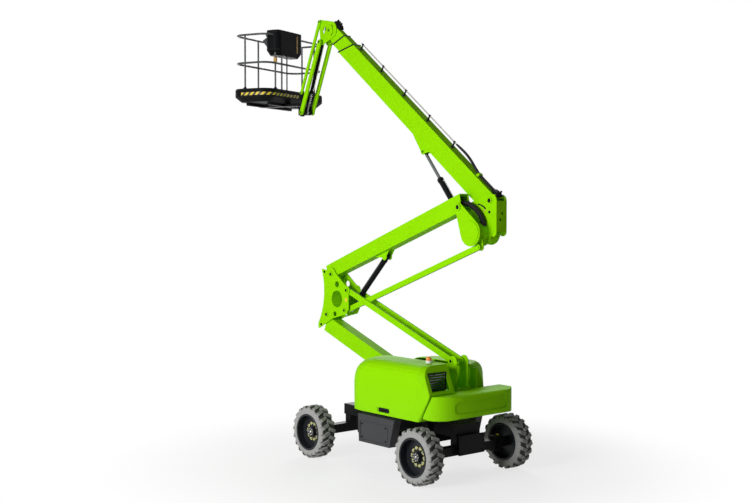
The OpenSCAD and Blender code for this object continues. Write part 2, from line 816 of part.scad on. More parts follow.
module outer_collar() color(black) along(upper_pin, upper_angle)
    collar(outer_tip, upper_width, upper_bottom, upper_top, 6, 26);

module upper_rod() color(chrome) translate([0, upper_y, 0]) along(ucyl_base, ucyl_dir) difference() {
    union() {
        rod(ucyl_rest - ucyl_rod_len, ucyl_rest - 20, ucyl_rod_r);
        pin([ucyl_rest, 0], 40, -25, 25);
    }
    pin([ucyl_rest, 0], 22 + pin_gap, -30, 30);
}

module upper_barrel() color(black) translate([0, upper_y, 0]) along(ucyl_base, ucyl_dir) difference() {
    union() {
        pin([0, 0], 44, -30, 30);
        pin([0, 0], 22, -48, 48);
        rod(20, ucyl_barrel_len, ucyl_r);
    }
    rod(70, ucyl_barrel_len + 1, ucyl_rod_r + 2);
}

module mid_section() color(lime) along(upper_pin, upper_angle)
    section(280, mid_tip, mid_width, mid_z[0], mid_z[1], mid_wall);

module mid_collar() color(black) along(upper_pin, upper_angle)
    collar(mid_tip, mid_width, mid_z[0], mid_z[1], 6, 24);

module inner_boom() color(lime) along(upper_pin, upper_angle) translate([0, upper_y, 0]) {
    half = inner_width / 2;
    nose_x = 4800;
    difference() {
        slab(-half, half) polygon([[420, inner_z[0]], [nose_x, inner_z[0]], [nose_x, inner_z[1]], [420, inner_z[1]]]);
        translate([400, -half + mid_wall, inner_z[0] + mid_wall])
            cube([nose_x - 420, inner_width - 2 * mid_wall, inner_z[1] - inner_z[0] - 2 * mid_wall]);
    }
    difference() {
        slab(-half, half) {
            polygon([[nose_x - 5, inner_z[0]], [5030, inner_z[0]], [5090, inner_z[1]], [nose_x - 5, inner_z[1]]]);
            taper([5000, -74], 130, nose_at, 80);
        }
        pin(nose_at, pin_r + pin_gap, -100, 100);
    }
}

// Jib

module jib_head() color(lime) translate([0, upper_y, 0]) {
    lobe = nose_pin + [-70, 0];
    sides() difference() {
        slab(head_y[0], head_y[1]) {
            taper(lobe, 150, jtie_pin, 42);
            taper(lobe, 150, jib_pin, 50);
            taper(jib_pin, 50, jtie_pin, 42);
        }
        slab(head_y[0] - 1, head_y[1] + 1) {
            dot(nose_pin + [110, 40], 38);
            intersection() {
                difference() {
                    dot(nose_pin, 128);
                    dot(nose_pin, 106);
                }
                polygon([nose_pin, nose_pin + [-150, 200], nose_pin + [-250, 0], nose_pin + [-150, -200]]);
            }
        }
    }
    pin(nose_pin, pin_r, -80, 80);
    sides() pin(jib_pin, pin_r, 54, 146);
    pin(jcyl_pin, 20, -76, 76);
    pin(jtie_pin, 20, -76, 108);
}

module jib_bars() color(lime) translate([0, upper_y, 0]) {
    sides() difference() {
        slab(jib_bar_y[0], jib_bar_y[1]) bar(jib_pin, carrier_pin, 92);
        pin(jib_pin, pin_r + pin_gap, 100, 150);
        pin(carrier_pin, pin_r + pin_gap, 100, 150);
    }
}

module jib_tie() color(lime) translate([0, upper_y, 0]) difference() {
    slab(jtie_y[0], jtie_y[1]) bar(jtie_pin, carrier_tie_pin, 64);
    pin(jtie_pin, 20 + pin_gap, 0, 150);
    pin(carrier_tie_pin, 20 + pin_gap, 0, 150);
}

module jib_barrel() color(black) translate([0, upper_y, 0]) along(jcyl_pin, jcyl_dir) difference() {
    union() {
        pin([0, 0], 34, -24, 24);
        rod(15, jcyl_barrel_len, jcyl_r);
    }
    pin([0, 0], 20 + pin_gap, -40, 40);
    rod(70, jcyl_barrel_len + 1, jcyl_rod_r + 2);
}

module jib_rod() color(chrome) translate([0, upper_y, 0]) along(jcyl_pin, jcyl_dir) {
    rod(jcyl_rest - jcyl_rod_len, jcyl_rest - 15, jcyl_rod_r);
    pin([jcyl_rest, 0], 36, -20, 20);
    pin([jcyl_rest, 0], 18, -28, 28);
}

module basket_carrier() color(black) translate([0, upper_y, 0]) {
    base = carrier_pin[1] - 40;
    sides() slab(54, 70) {
        taper(carrier_pin, 48, carrier_tie_pin, 40);
        polygon([carrier_pin + [0, -46], carrier_pin + [120, -40], carrier_pin + [120, 120], carrier_pin + [20, 120]]);
    }
    sides() pin(carrier_pin, pin_r, 54, 146);
    pin(carrier_tie_pin, 20, 50, 108);
    translate([rotator_x, 0, base]) difference() {
        cylinder(r = rotator_r, h = 165);
        translate([0, 0, -1]) cylinder(r = spindle_turn_r + pin_gap, h = 167);
    }
}

// The basket's frame: origin under the rotator's axis, turned as photographed
module on_rotator() {
    translate([rotator_x, upper_y, 0]) rotate([0, 0, basket_yaw]) children();
}

// The middle of the basket, in the same directions
module in_basket() {
    on_rotator() translate([basket_gap + basket_depth / 2, basket_shift, 0]) children();
}

module basket_frame() color(black) on_rotator() {
    z = tray_bottom - 50;
    beam = 60;
    cross = 1500;
    translate([0, 0, carrier_pin[1] - 60]) cylinder(r = spindle_turn_r, h = z - carrier_pin[1] + 60);
    translate([0, 0, z]) cylinder(r = 70, h = 44);
    sides() translate([0, 5, z]) cube([basket_gap + basket_depth - 120, beam, 50]);
    for (x = [160, basket_depth - 220]) translate([basket_gap + x, basket_shift - cross / 2, z]) cube([beam, cross, 50]);
}

module basket_tray() color(black) in_basket() {
    flare = 110;
    band = 90;
    difference() {
        union() {
            hull() {
                translate([0, 0, tray_bottom]) linear_extrude(10)
                    round_rect(basket_depth - 2 * flare, basket_width - 2 * flare, tray_r - flare);
                translate([0, 0, tray_top - band - 60]) linear_extrude(10) round_rect(basket_depth, basket_width, tray_r);
            }
            translate([0, 0, tray_top - band - 55]) linear_extrude(band + 35) round_rect(basket_depth, basket_width, tray_r);
            translate([0, 0, tray_top - 30]) linear_extrude(30)
                round_rect(basket_depth - 24, basket_width - 24, tray_r - 12);
        }
        translate([0, 0, floor_z]) linear_extrude(300)
            round_rect(basket_depth - 2 * rim_width, basket_width - 2 * rim_width, tray_r - rim_width);
    }
}

// A closed rail with round corners about the basket's centre
module rail_loop(z, w, d, r) {
    translate([0, 0, z]) for (sx = [-1, 1]) for (sy = [-1, 1]) translate([sx * (d / 2 - r), sy * (w / 2 - r), 0])
        rotate([0, 0, sx > 0 ? (sy > 0 ? 0 : 270) : (sy > 0 ? 90 : 180)])
            rotate_extrude(angle = 90) translate([r, 0]) circle(r = rail_r, $fn = 24);
    for (s = [-1, 1]) {
        translate([s * d / 2, -w / 2 + r, z]) rotate([-90, 0, 0]) cylinder(r = rail_r, h = w - 2 * r, $fn = 24);
        translate([-d / 2 + r, s * w / 2, z]) rotate([0, 90, 0]) cylinder(r = rail_r, h = d - 2 * r, $fn = 24);
    }
}

module basket_rails() color(steel) in_basket() {
    w = basket_width - 2 * rail_inset;
    d = basket_depth - 2 * rail_inset;
    posts = concat(
        [for (y = rear_posts) [-d / 2, y]], [for (y = front_posts) [d / 2, y]], [for (s = [-1, 1]) [end_post, s * w / 2]]
    );
    rail_loop(top_rail_z, w, d, tray_r - rail_inset);
    rail_loop(mid_rail_z, w, d, tray_r - rail_inset);
    for (p = posts) translate([p[0], p[1], tray_top]) cylinder(r = post_r, h = top_rail_z - tray_top, $fn = 24);
}

// Control console: hangs on the rear rail, deeper inside the basket than behind it
module console() color(black) in_basket() {
    rail_x = -basket_depth / 2 + rail_inset;
    depth = 300;
    inside = 200;
    w = console_y[1] - console_y[0];
    difference() {
        translate([rail_x + inside - depth / 2, (console_y[0] + console_y[1]) / 2, 0]) {
            translate([0, 0, console_z[0] + 90]) linear_extrude(console_z[1] - console_z[0] - 90) round_rect(depth, w, 110);
            hull() {
                translate([0, 0, console_z[0] + 90]) linear_extrude(10) round_rect(depth, w, 110);
                translate([0, 0, console_z[0]]) linear_extrude(10) round_rect(depth - 60, w - 160, 100);
            }
        }
        translate([rail_x, 0, top_rail_z]) rotate([90, 0, 0]) translate([0, 0, -basket_width])
            cylinder(r = rail_r + 0.5, h = 2 * basket_width);
        translate([rail_x, rear_posts[0], console_z[0] - 10]) cylinder(r = post_r + 0.5, h = top_rail_z - console_z[0] + 10);
    }
}

module control_loom() color(black) in_basket()
    translate([-basket_depth / 2 + loom_r + 2, loom_y, tray_top]) cylinder(r = loom_r, h = console_z[0] - tray_top);

chassis_frame();
cover_brackets();
side_covers();
front_axle();
rear_axle();
slew_ring();
knuckle_left();
knuckle_right();
steering_rod();
tyre_front_left();
tyre_front_right();
tyre_rear_left();
tyre_rear_right();
rim_front_left();
rim_front_right();
rim_rear_left();
rim_rear_right();
turret_deck();
turret_post();
counterweight();
engine_block();
hydraulic_tank();
cowl_left();
cowl_right();
vent_left();
vent_right();
beacon_base();
beacon_lens();
lower_boom();
lower_ties();
mid_link();
second_boom();
second_tie();
lift_barrel();
lift_rod();
upper_link();
upper_boom();
outer_collar();
upper_rod();
upper_barrel();
mid_section();
mid_collar();
inner_boom();
jib_head();
jib_bars();
jib_tie();
jib_barrel();
jib_rod();
basket_carrier();
basket_frame();
basket_tray();
basket_rails();
console();
control_loom();
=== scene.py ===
"""Articulating boom lift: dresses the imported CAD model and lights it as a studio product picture."""

import json
import math

import bmesh
import bpy
from mathutils import Matrix, Vector


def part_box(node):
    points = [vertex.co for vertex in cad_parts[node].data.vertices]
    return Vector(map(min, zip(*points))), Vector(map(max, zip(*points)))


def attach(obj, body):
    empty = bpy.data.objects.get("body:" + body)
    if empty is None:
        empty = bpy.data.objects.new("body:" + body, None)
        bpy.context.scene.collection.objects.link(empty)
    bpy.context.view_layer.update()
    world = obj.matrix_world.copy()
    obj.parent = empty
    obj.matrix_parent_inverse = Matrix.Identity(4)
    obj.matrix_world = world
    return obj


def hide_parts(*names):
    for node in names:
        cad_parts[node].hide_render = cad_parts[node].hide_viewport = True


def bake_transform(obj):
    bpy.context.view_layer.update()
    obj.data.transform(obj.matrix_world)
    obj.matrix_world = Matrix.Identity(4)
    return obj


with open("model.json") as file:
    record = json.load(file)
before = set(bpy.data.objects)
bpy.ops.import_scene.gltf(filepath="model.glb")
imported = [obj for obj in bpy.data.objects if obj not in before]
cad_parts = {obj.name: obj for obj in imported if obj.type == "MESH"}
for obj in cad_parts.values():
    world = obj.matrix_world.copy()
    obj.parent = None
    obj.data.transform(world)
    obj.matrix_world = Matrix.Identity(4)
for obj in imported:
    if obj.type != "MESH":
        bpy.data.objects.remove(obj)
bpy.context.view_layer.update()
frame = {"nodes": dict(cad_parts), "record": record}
nodes = frame["nodes"]
joints = {joint["name"]: joint for joint in frame["record"]["behaviour"]["joints"]}

# Camera of the photograph
PHOTO_WIDTH = 755
FOCAL_PX = 1182.94
SENSOR = 36.0
CAMERA_AT = Vector((-14.7345, 13.0487, 4.3041))
CAMERA_YAW = -0.698047
CAMERA_PITCH = -0.0393063
CAMERA_REACH = 200.0

# Directions
AHEAD = Vector((1.0, 0.0, 0.0))
BACK = Vector((-1.0, 0.0, 0.0))
LEFT = Vector((0.0, 1.0, 0.0))
UP = Vector((0.0, 0.0, 1.0))
SIDES = (("left", 1.0), ("right", -1.0))

# Points of the joints, then the pins of the linkage that no joint names
PIN = {name: Vector(joint["pos_m"]) for name, joint in joints.items() if "pos_m" in joint}
RAM_BASE_REACH = Vector((0.128, -0.235, -0.377))
PIN["mid_tie"] = PIN["mid_link_pivot"] + (PIN["lower_tie_pivot"] - PIN["lower_lift"])
PIN["upper_base"] = PIN["upper_link_pivot"] + RAM_BASE_REACH
PIN["carrier_tie"] = PIN["carrier_level"] + PIN["jib_tie_pivot"] - PIN["jib_lift"]

# Boom and basket
UPPER_Y = PIN["upper_lift"].y
BOOM_AXIS = Vector(joints["telescope"]["axis"])
BOOM_TOP = 0.092
BASKET_TURN = math.radians(22.0)
BASKET_DEPTH = 0.85
BASKET_WIDTH = 2.10
BASKET_GAP = 0.20
BASKET_SHIFT = -0.20
TRAY_CORNER = 0.25
TRAY_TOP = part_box("basket_tray")[1][2]
CONSOLE_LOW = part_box("console")[0][2]
CONSOLE_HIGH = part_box("console")[1][2]


# Frames

def facing(at, out, up=UP):
    """A frame at a point whose x axis points out and whose z axis is as near up as it can be."""
    x = Vector(out).normalized()
    y = Vector(up).cross(x).normalized()
    z = x.cross(y)
    turn = Matrix((x, y, z)).transposed().to_4x4()
    return Matrix.Translation(Vector(at)) @ turn


def moved(place, x=0.0, y=0.0, z=0.0):
    """A frame moved along its own axes."""
    return place @ Matrix.Translation((x, y, z))


def shifted(point, y):
    """The same point at another distance from the centreline."""
    return Vector((point.x, y, point.z))


BOOM = facing(PIN["upper_lift"], BOOM_AXIS)
BOOM_UP = BOOM.to_3x3() @ UP
ROTATOR = Matrix.Translation(PIN["basket_rotate"]) @ Matrix.Rotation(BASKET_TURN, 4, "Z")
BASKET = moved(ROTATOR, BASKET_GAP + BASKET_DEPTH / 2, BASKET_SHIFT, -PIN["basket_rotate"].z)


def on_boom(x, z, y=0.0):
    """A point in the frame of the upper boom."""
    return BOOM @ Vector((x, y, z))


def in_basket(x, y, z):
    """A point in the frame of the basket, z above the ground."""
    return BASKET @ Vector((x, y, z))


def basket_place(x, y, z, out=UP, up=AHEAD):
    """A frame on the basket whose x axis points out."""
    turn = BASKET.to_3x3()
    return facing(in_basket(x, y, z), turn @ Vector(out), turn @ Vector(up))


# Colours, linear
LIME = (0.272, 0.690, 0.0010)
BLACK = (0.0055, 0.0058, 0.0065)
DARK = (0.030, 0.031, 0.034)
CHARCOAL = (0.055, 0.058, 0.064)
ZINC = (0.46, 0.46, 0.44)
CHROME = (0.180, 0.186, 0.192)
SIDEWALL = (0.34, 0.34, 0.335)
TREAD = (0.27, 0.27, 0.265)
# Painted shade for the bed between the tyre's lugs
GROOVE_SHADE = (0.035, 0.035, 0.034)
RIM = (0.010, 0.012, 0.016)
AMBER = (0.85, 0.22, 0.01)
WHITE = (0.78, 0.78, 0.76)
YELLOW = (0.80, 0.60, 0.03)
PALE_YELLOW = (0.72, 0.70, 0.22)
TAN = (0.52, 0.30, 0.09)
RED = (0.55, 0.015, 0.012)
HOSE = (0.007, 0.007, 0.008)
DUST = (0.30, 0.28, 0.25)

# Colours of rubbed edges, lighter than the surface; on the black moulded plastic they are painted
# highlights along the rims as well as wear
WORN_PAINT = (0.05, 0.05, 0.05)
WORN_COVER = (0.08, 0.08, 0.08)
# Lighter edge of the console and tray: painted highlight along the rims, and wear
WORN_AND_HIGHLIT_MOULDED = (0.09, 0.09, 0.09)
WORN_RIM = (0.06, 0.065, 0.075)

# Uneven tone and gloss
BROAD_SCALE = 2.4
BROAD_DETAIL = 6.0
GLOSS_LESS = 0.06
GLOSS_MORE = 0.08
GLOSS_LEAST = 0.04

# Fine grain
FINE_DETAIL = 3.0
FINE_DEPTH = 0.002

# Dust reaches this high
DUST_HEIGHT = 1.6

# Soft edges, and how far a normal turns where an edge is rubbed and gets its lighter colour, partly wear
# and partly painted highlight
EDGE_SAMPLES = 4
WORN_AND_HIGHLIT_FROM = 0.97
WORN_AND_HIGHLIT_FULL = 0.80
WORN_AND_HIGHLIT_SHARE = 0.55

# Radii of the tyre's tread, where painted shade darkens the bed between the lugs, and where its sidewall
# starts by the normal
AXLE = PIN["spin_front_left"]
TREAD_START = 0.360
TREAD_BED = 0.416
TREAD_TOP = 0.421
SIDEWALL_FROM = 0.45
SIDEWALL_FULL = 0.75

# Hazard stripes
STRIPE_PITCH = 0.115
STRIPE_BLUR = 0.002
STRIPE_WEAR = 40.0
STRIPE_FADE = 0.8
STRIPE_ROUGHNESS = 0.5


# Materials

def shader(name):
    """A new node material, its node tree and its shader."""
    made = bpy.data.materials.new(name)
    made.use_nodes = True
    return made, made.node_tree, made.node_tree.nodes["Principled BSDF"]


def add(tree, kind, values=None, sources=None, operation=None):
    """A new node, with the values of its sockets and the outputs that are linked to them."""
    made = tree.nodes.new("ShaderNode" + kind)
    if operation:
        made.operation = operation
    for socket, value in (values or {}).items():
        made.inputs[socket].default_value = value
    for socket, source in (sources or {}).items():
        tree.links.new(source, made.inputs[socket])
    return made


def rgba(colour, scale=1.0):
    """A colour, darker or lighter, with full alpha."""
    return tuple(min(1.0, part * scale) for part in colour) + (1.0,)


def laid_over(tree, below, colour, share):
    """A colour laid over another."""
    mix = add(tree, "MixRGB", {"Color2": rgba(colour)}, {"Fac": share, "Color1": below})
    return mix.outputs["Color"]


def tread_bed(tree, at):
    """1 in the bed between a tyre's lugs and 0 elsewhere, from the distance to the axle; it masks the
    painted shade of the bed.
    """
    spot = add(tree, "SeparateXYZ", None, {"Vector": at}).outputs
    fold = add(tree, "Math", None, {0: spot["X"]}, "ABSOLUTE").outputs["Value"]
    wheel = add(tree, "CombineXYZ", None, {"X": fold, "Z": spot["Z"]}).outputs["Vector"]
    middle = (abs(AXLE.x), 0.0, AXLE.z)
    reach = add(tree, "VectorMath", {1: middle}, {0: wheel}, "DISTANCE").outputs["Value"]
    limits = {"From Min": TREAD_BED, "From Max": TREAD_TOP, "To Min": 1.0, "To Max": 0.0}
    bed = add(tree, "MapRange", limits, {"Value": reach}).outputs["Result"]
    tread = add(tree, "Math", {1: TREAD_START}, {0: reach}, "GREATER_THAN").outputs["Value"]
    return add(tree, "Math", None, {0: bed, 1: tread}, "MULTIPLY").outputs["Value"]


def finish(name, colour, roughness, grain, bump, vary, metallic=0.0, soil=0.0, specular=0.4, edge=0.004,
           worn_and_highlit=None, second=None, groove_shade=None):
    """A surface with uneven colour and gloss, fine grain, soft edges lightened as wear and as painted
    highlight, and dust towards the ground.

    On a tyre, a second colour takes the faces that look along the axle, and painted shade darkens the bed
    between the lugs.
    """
    made, tree, bsdf = shader(name)
    place = add(tree, "TexCoord").outputs
    broad = add(tree, "TexNoise", {"Scale": BROAD_SCALE, "Detail": BROAD_DETAIL},
                {"Vector": place["Object"]}).outputs["Fac"]
    last = add(tree, "MixRGB", {"Color1": rgba(colour, 1.0 - vary), "Color2": rgba(colour, 1.0 + vary)},
               {"Fac": broad}).outputs["Color"]
    # Painted shade: the bed between the lugs is darkened
    if groove_shade:
        last = laid_over(tree, last, groove_shade, tread_bed(tree, place["Object"]))
    if second:
        along = add(tree, "SeparateXYZ", None, {"Vector": place["Normal"]}).outputs["Y"]
        either = add(tree, "Math", None, {0: along}, "ABSOLUTE").outputs["Value"]
        flank = add(tree, "MapRange", {"From Min": SIDEWALL_FROM, "From Max": SIDEWALL_FULL},
                    {"Value": either}).outputs["Result"]
        last = laid_over(tree, last, second, flank)
    if soil:
        height = add(tree, "SeparateXYZ", None, {"Vector": place["Object"]}).outputs["Z"]
        rise = add(tree, "MapRange", {"From Max": DUST_HEIGHT, "To Min": soil, "To Max": 0.0},
                   {"Value": height}).outputs["Result"]
        patch = add(tree, "Math", None, {0: rise, 1: broad}, "MULTIPLY").outputs["Value"]
        last = laid_over(tree, last, DUST, patch)
    bevel = add(tree, "Bevel", {"Radius": edge})
    bevel.samples = EDGE_SAMPLES
    soft = bevel.outputs["Normal"]
    # Rubbed edges get a lighter colour: partly wear, partly a painted highlight along the rim
    if worn_and_highlit:
        flat = add(tree, "NewGeometry").outputs["Normal"]
        bend = add(tree, "VectorMath", None, {0: soft, 1: flat}, "DOT_PRODUCT").outputs["Value"]
        limits = {"From Min": WORN_AND_HIGHLIT_FROM, "From Max": WORN_AND_HIGHLIT_FULL, "To Max": WORN_AND_HIGHLIT_SHARE}
        rubbed_and_highlit = add(tree, "MapRange", limits, {"Value": bend}).outputs["Result"]
        last = laid_over(tree, last, worn_and_highlit, rubbed_and_highlit)
    gloss = add(tree, "MapRange", {"To Min": max(GLOSS_LEAST, roughness - GLOSS_LESS),
                                   "To Max": min(1.0, roughness + GLOSS_MORE)}, {"Value": broad})
    fine = add(tree, "TexNoise", {"Scale": grain, "Detail": FINE_DETAIL}, {"Vector": place["Object"]})
    dent = add(tree, "Bump", {"Strength": bump, "Distance": FINE_DEPTH},
               {"Height": fine.outputs["Fac"], "Normal": soft})
    bsdf.inputs["Metallic"].default_value = metallic
    bsdf.inputs["Specular IOR Level"].default_value = specular
    tree.links.new(last, bsdf.inputs["Base Color"])
    tree.links.new(gloss.outputs["Result"], bsdf.inputs["Roughness"])
    tree.links.new(dent.outputs["Normal"], bsdf.inputs["Normal"])
    return made


def hazard(name, pitch):
    """Yellow and black diagonal stripes, read from the strip's own length and height."""
    made, tree, bsdf = shader(name)
    place = add(tree, "TexCoord").outputs
    spot = add(tree, "SeparateXYZ", None, {"Vector": place["UV"]}).outputs
    slant = add(tree, "Math", None, {0: spot["X"], 1: spot["Y"]}, "SUBTRACT").outputs["Value"]
    wave = add(tree, "Math", {1: pitch / 2}, {0: slant}, "PINGPONG").outputs["Value"]
    limits = {"From Min": pitch / 4 - STRIPE_BLUR, "From Max": pitch / 4 + STRIPE_BLUR}
    step = add(tree, "MapRange", limits, {"Value": wave}).outputs["Result"]
    wear = add(tree, "TexNoise", {"Scale": STRIPE_WEAR}, {"Vector": place["Object"]}).outputs["Fac"]
    yellow = add(tree, "MixRGB", {"Color1": rgba(YELLOW, STRIPE_FADE), "Color2": rgba(YELLOW)},
                 {"Fac": wear}).outputs["Color"]
    mix = add(tree, "MixRGB", {"Color1": rgba(BLACK)}, {"Fac": step, "Color2": yellow}).outputs["Color"]
    tree.links.new(mix, bsdf.inputs["Base Color"])
    bsdf.inputs["Roughness"].default_value = STRIPE_ROUGHNESS
    return made


paint = finish("lime_paint", LIME, roughness=0.50, grain=500.0, bump=0.015, vary=0.04, soil=0.08,
               specular=0.02, edge=0.002)
black_paint = finish("black_paint", BLACK, roughness=0.40, grain=420.0, bump=0.08, vary=0.25, soil=0.04,
                     specular=0.06, worn_and_highlit=WORN_PAINT)
plastic = finish("dark_plastic", DARK, roughness=0.52, grain=1400.0, bump=0.16, vary=0.12, soil=0.05,
                 specular=0.3, worn_and_highlit=WORN_COVER)
# Its lighter rubbed edges are partly painted highlight
black_plastic = finish("black_plastic", BLACK, roughness=0.40, grain=1200.0, bump=0.14, vary=0.2,
                       specular=0.03, edge=0.014, worn_and_highlit=WORN_AND_HIGHLIT_MOULDED)
rail_paint = finish("rail_paint", CHARCOAL, roughness=0.34, metallic=0.3, grain=90.0, bump=0.05, vary=0.18)
zinc = finish("zinc", ZINC, roughness=0.38, metallic=0.9, grain=300.0, bump=0.05, vary=0.15, edge=0.002)
chrome = finish("chrome", CHROME, roughness=0.12, metallic=1.0, grain=700.0, bump=0.01, vary=0.03,
                edge=0.002)
rubber = finish("tyre_rubber", TREAD, roughness=0.78, grain=380.0, bump=0.18, vary=0.16, soil=0.25,
                specular=0.2, edge=0.006, second=SIDEWALL, groove_shade=GROOVE_SHADE)
wheel_paint = finish("rim_paint", RIM, roughness=0.34, grain=420.0, bump=0.06, vary=0.12, soil=0.03,
                     specular=0.2, worn_and_highlit=WORN_RIM)
lens = finish("amber_lens", AMBER, roughness=0.16, grain=240.0, bump=0.12, vary=0.06, edge=0.002)
white_plastic = finish("white_plastic", WHITE, roughness=0.42, grain=900.0, bump=0.05, vary=0.04,
                       edge=0.002)
yellow_plastic = finish("yellow_plastic", PALE_YELLOW, roughness=0.45, grain=900.0, bump=0.05, vary=0.08,
                        edge=0.001)
yellow_paint = finish("yellow_paint", YELLOW, roughness=0.45, grain=500.0, bump=0.05, vary=0.08,
                      edge=0.001)
tan_plastic = finish("tan_plastic", TAN, roughness=0.48, grain=900.0, bump=0.06, vary=0.1, edge=0.002)
red_plastic = finish("red_plastic", RED, roughness=0.35, grain=900.0, bump=0.03, vary=0.05, edge=0.002)
hose_rubber = finish("hose_rubber", HOSE, roughness=0.46, grain=650.0, bump=0.12, vary=0.2, specular=0.2,
                     edge=0.002)
stripes = hazard("hazard_stripes", STRIPE_PITCH)

# Finish of each solid that isn't lime, by its name or by the start of it
BLACK_NODES = ["chassis_frame", "cover_brackets", "front_axle", "rear_axle", "knuckle_left",
               "knuckle_right", "vent_left", "vent_right", "outer_collar", "mid_collar", "lift_barrel",
               "upper_barrel", "jib_barrel", "basket_carrier", "basket_frame"]
FINISH_OF = dict.fromkeys(BLACK_NODES, black_paint)
FINISH_OF.update(dict.fromkeys(["side_covers", "slew_ring", "engine_block", "hydraulic_tank"], plastic))
FINISH_OF.update(dict.fromkeys(["basket_tray", "console", "control_loom"], black_plastic))
FINISH_OF.update(dict.fromkeys(["steering_rod", "lift_rod", "upper_rod", "jib_rod"], chrome))
FINISH_OF.update({"basket_rails": rail_paint, "beacon_lens": lens, "beacon_base": white_plastic})
FINISH_OF_KIND = {"tyre": rubber, "rim": wheel_paint}
for name, piece in nodes.items():
    kind = name.split("_")[0]
    piece.data.materials.clear()
    piece.data.materials.append(FINISH_OF.get(name, FINISH_OF_KIND.get(kind, paint)))


# Mesh tools

SMOOTH_ANGLE = math.radians(35.0)
WELD = 1e-6
HEX = 6


def make(name, bm, material, body=None):
    """An object from a bmesh, smooth but for its sharp edges; with no body given it is left unattached."""
    bmesh.ops.remove_doubles(bm, verts=bm.verts, dist=WELD)
    bmesh.ops.recalc_face_normals(bm, faces=bm.faces)
    mesh = bpy.data.meshes.new(name)
    bm.to_mesh(mesh)
    bm.free()
    mesh.shade_smooth()
    mesh.set_sharp_from_angle(angle=SMOOTH_ANGLE)
    mesh.materials.append(material)
    obj = bpy.data.objects.new(name, mesh)
    bpy.context.scene.collection.objects.link(obj)
    if body:
        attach(obj, body)
    return obj


def circle(count):
    """Angles spread evenly over a full turn."""
    return [2.0 * math.pi * k / count for k in range(count)]


def lathe(bm, profile, place, segments):
    """Adds a turned body: pairs of radius and height along a frame's x axis; a radius of 0 closes it."""
    rings = []
    for radius, height in profile:
        turns = circle(segments) if radius else [0.0]
        ring = [Vector((height, radius * math.cos(a), radius * math.sin(a))) for a in turns]
        rings.append([bm.verts.new(place @ point) for point in ring])
    for low, high in zip(rings, rings[1:]):
        for k in range(segments):
            after = k + 1
            quad = [low[k % len(low)], low[after % len(low)], high[after % len(high)], high[k % len(high)]]
            bm.faces.new(list(dict.fromkeys(quad)))


def prism(bm, outline, place, thickness, bevel=0.0):
    """Adds a plate: an outline in a frame's y and z, thick along its x; a bevel rounds its far edge."""
    low = [bm.verts.new(place @ Vector((0.0, y, z))) for y, z in outline]
    high = [bm.verts.new(place @ Vector((thickness, y, z))) for y, z in outline]
    bm.faces.new(low[::-1])
    top = bm.faces.new(high)
    for k in range(len(low)):
        bm.faces.new([low[k - 1], low[k], high[k], high[k - 1]])
    if bevel:
        bm.normal_update()
        bmesh.ops.bevel(bm, geom=list(top.edges), offset=bevel, segments=2, affect="EDGES", profile=0.5)


def rounded(width, height, corner, steps=5):
    """Outline of a rounded rectangle."""
    points = []
    for k, (sy, sz) in enumerate(((1, 1), (-1, 1), (-1, -1), (1, -1))):
        for i in range(steps + 1):
            a = math.pi / 2 * (k + i / steps)
            points.append((sy * (width / 2 - corner) + corner * math.cos(a),
                           sz * (height / 2 - corner) + corner * math.sin(a)))
    return points


def smooth_path(points, spacing=0.02):
    """A smooth curve through points, sampled about evenly."""
    points = [Vector(p) for p in points]
    ends = [2 * points[0] - points[1]] + points + [2 * points[-1] - points[-2]]
    path = []
    for a, b, c, d in zip(ends, ends[1:], ends[2:], ends[3:]):
        count = max(2, round((c - b).length / spacing))
        for i in range(count):
            t = i / count
            path.append(0.5 * (2 * b + (c - a) * t + (2 * a - 5 * b + 4 * c - d) * t * t
                               + (3 * b - a - 3 * c + d) * t ** 3))
    return path + [points[-1]]


def sweep(bm, path, radius, sides, ridge=0.0, closed=False):
    """Adds a tube along a path, capped or closed on itself; a ridge makes every second ring thicker."""
    across = (path[1] - path[0]).normalized().orthogonal()
    count = len(path)
    rings = []
    for k, point in enumerate(path):
        low = path[k - 1] if closed or k else point
        high = path[(k + 1) % count] if closed or k + 1 < count else point
        tangent = (high - low).normalized()
        across = (across - tangent * across.dot(tangent)).normalized()
        other = tangent.cross(across)
        r = radius + (ridge if k % 2 else 0.0)
        ring = [point + r * (math.cos(a) * across + math.sin(a) * other) for a in circle(sides)]
        rings.append([bm.verts.new(spot) for spot in ring])
    if closed:
        rings.append(rings[0])
    for low, high in zip(rings, rings[1:]):
        for i in range(sides):
            bm.faces.new([low[i], low[(i + 1) % sides], high[(i + 1) % sides], high[i]])
    if not closed:
        bm.faces.new(rings[0][::-1])
        bm.faces.new(rings[-1])


# Bolt: the washer in shares of the head's radius, the head in shares of its size
WASHER = [(0.0, -0.004), (1.35, -0.004), (1.35, 0.003), (1.1, 0.003), (0.0, 0.003)]
HEAD_FOOT = 0.002
HEAD_SHOULDER = 0.5
HEAD_TOP = 0.62
HEAD_CHAMFER = 0.85


def hex_bolt(bm, place, across):
    """Adds a washer and a bolt head standing on the frame's origin along its x axis."""
    r = across / 2 / math.cos(math.pi / 6)
    top = across * HEAD_TOP
    shoulder = across * HEAD_SHOULDER
    head = [(0.0, HEAD_FOOT), (r, HEAD_FOOT), (r, shoulder), (r * HEAD_CHAMFER, top), (0.0, top)]
    lathe(bm, [(r * share, height) for share, height in WASHER], place, segments=20)
    lathe(bm, head, place, segments=HEX)


# Wheels

NUT_COUNT = 10
NUT_CIRCLE = 0.1375
NUT_SIZE = 0.030
HUB_BOLTS = 8
HUB_CIRCLE = 0.054
HUB_BOLT_SIZE = 0.016
HUB_CAP = [(0.0, 0.012), (0.016, 0.012), (0.024, 0.006), (0.026, -0.002), (0.0, -0.002)]
DISC_FACE = 0.995
HUB_FACE = 1.051
FLAG_CUP = [(0.018, 0.002), (0.025, 0.002), (0.024, 0.012), (0.018, 0.014), (0.018, 0.002)]
FLAG_POINTER = [(0.018, -0.016), (0.046, 0.0), (0.018, 0.016)]
FLAG_LIFT = 0.004
FLAG_THICK = 0.006


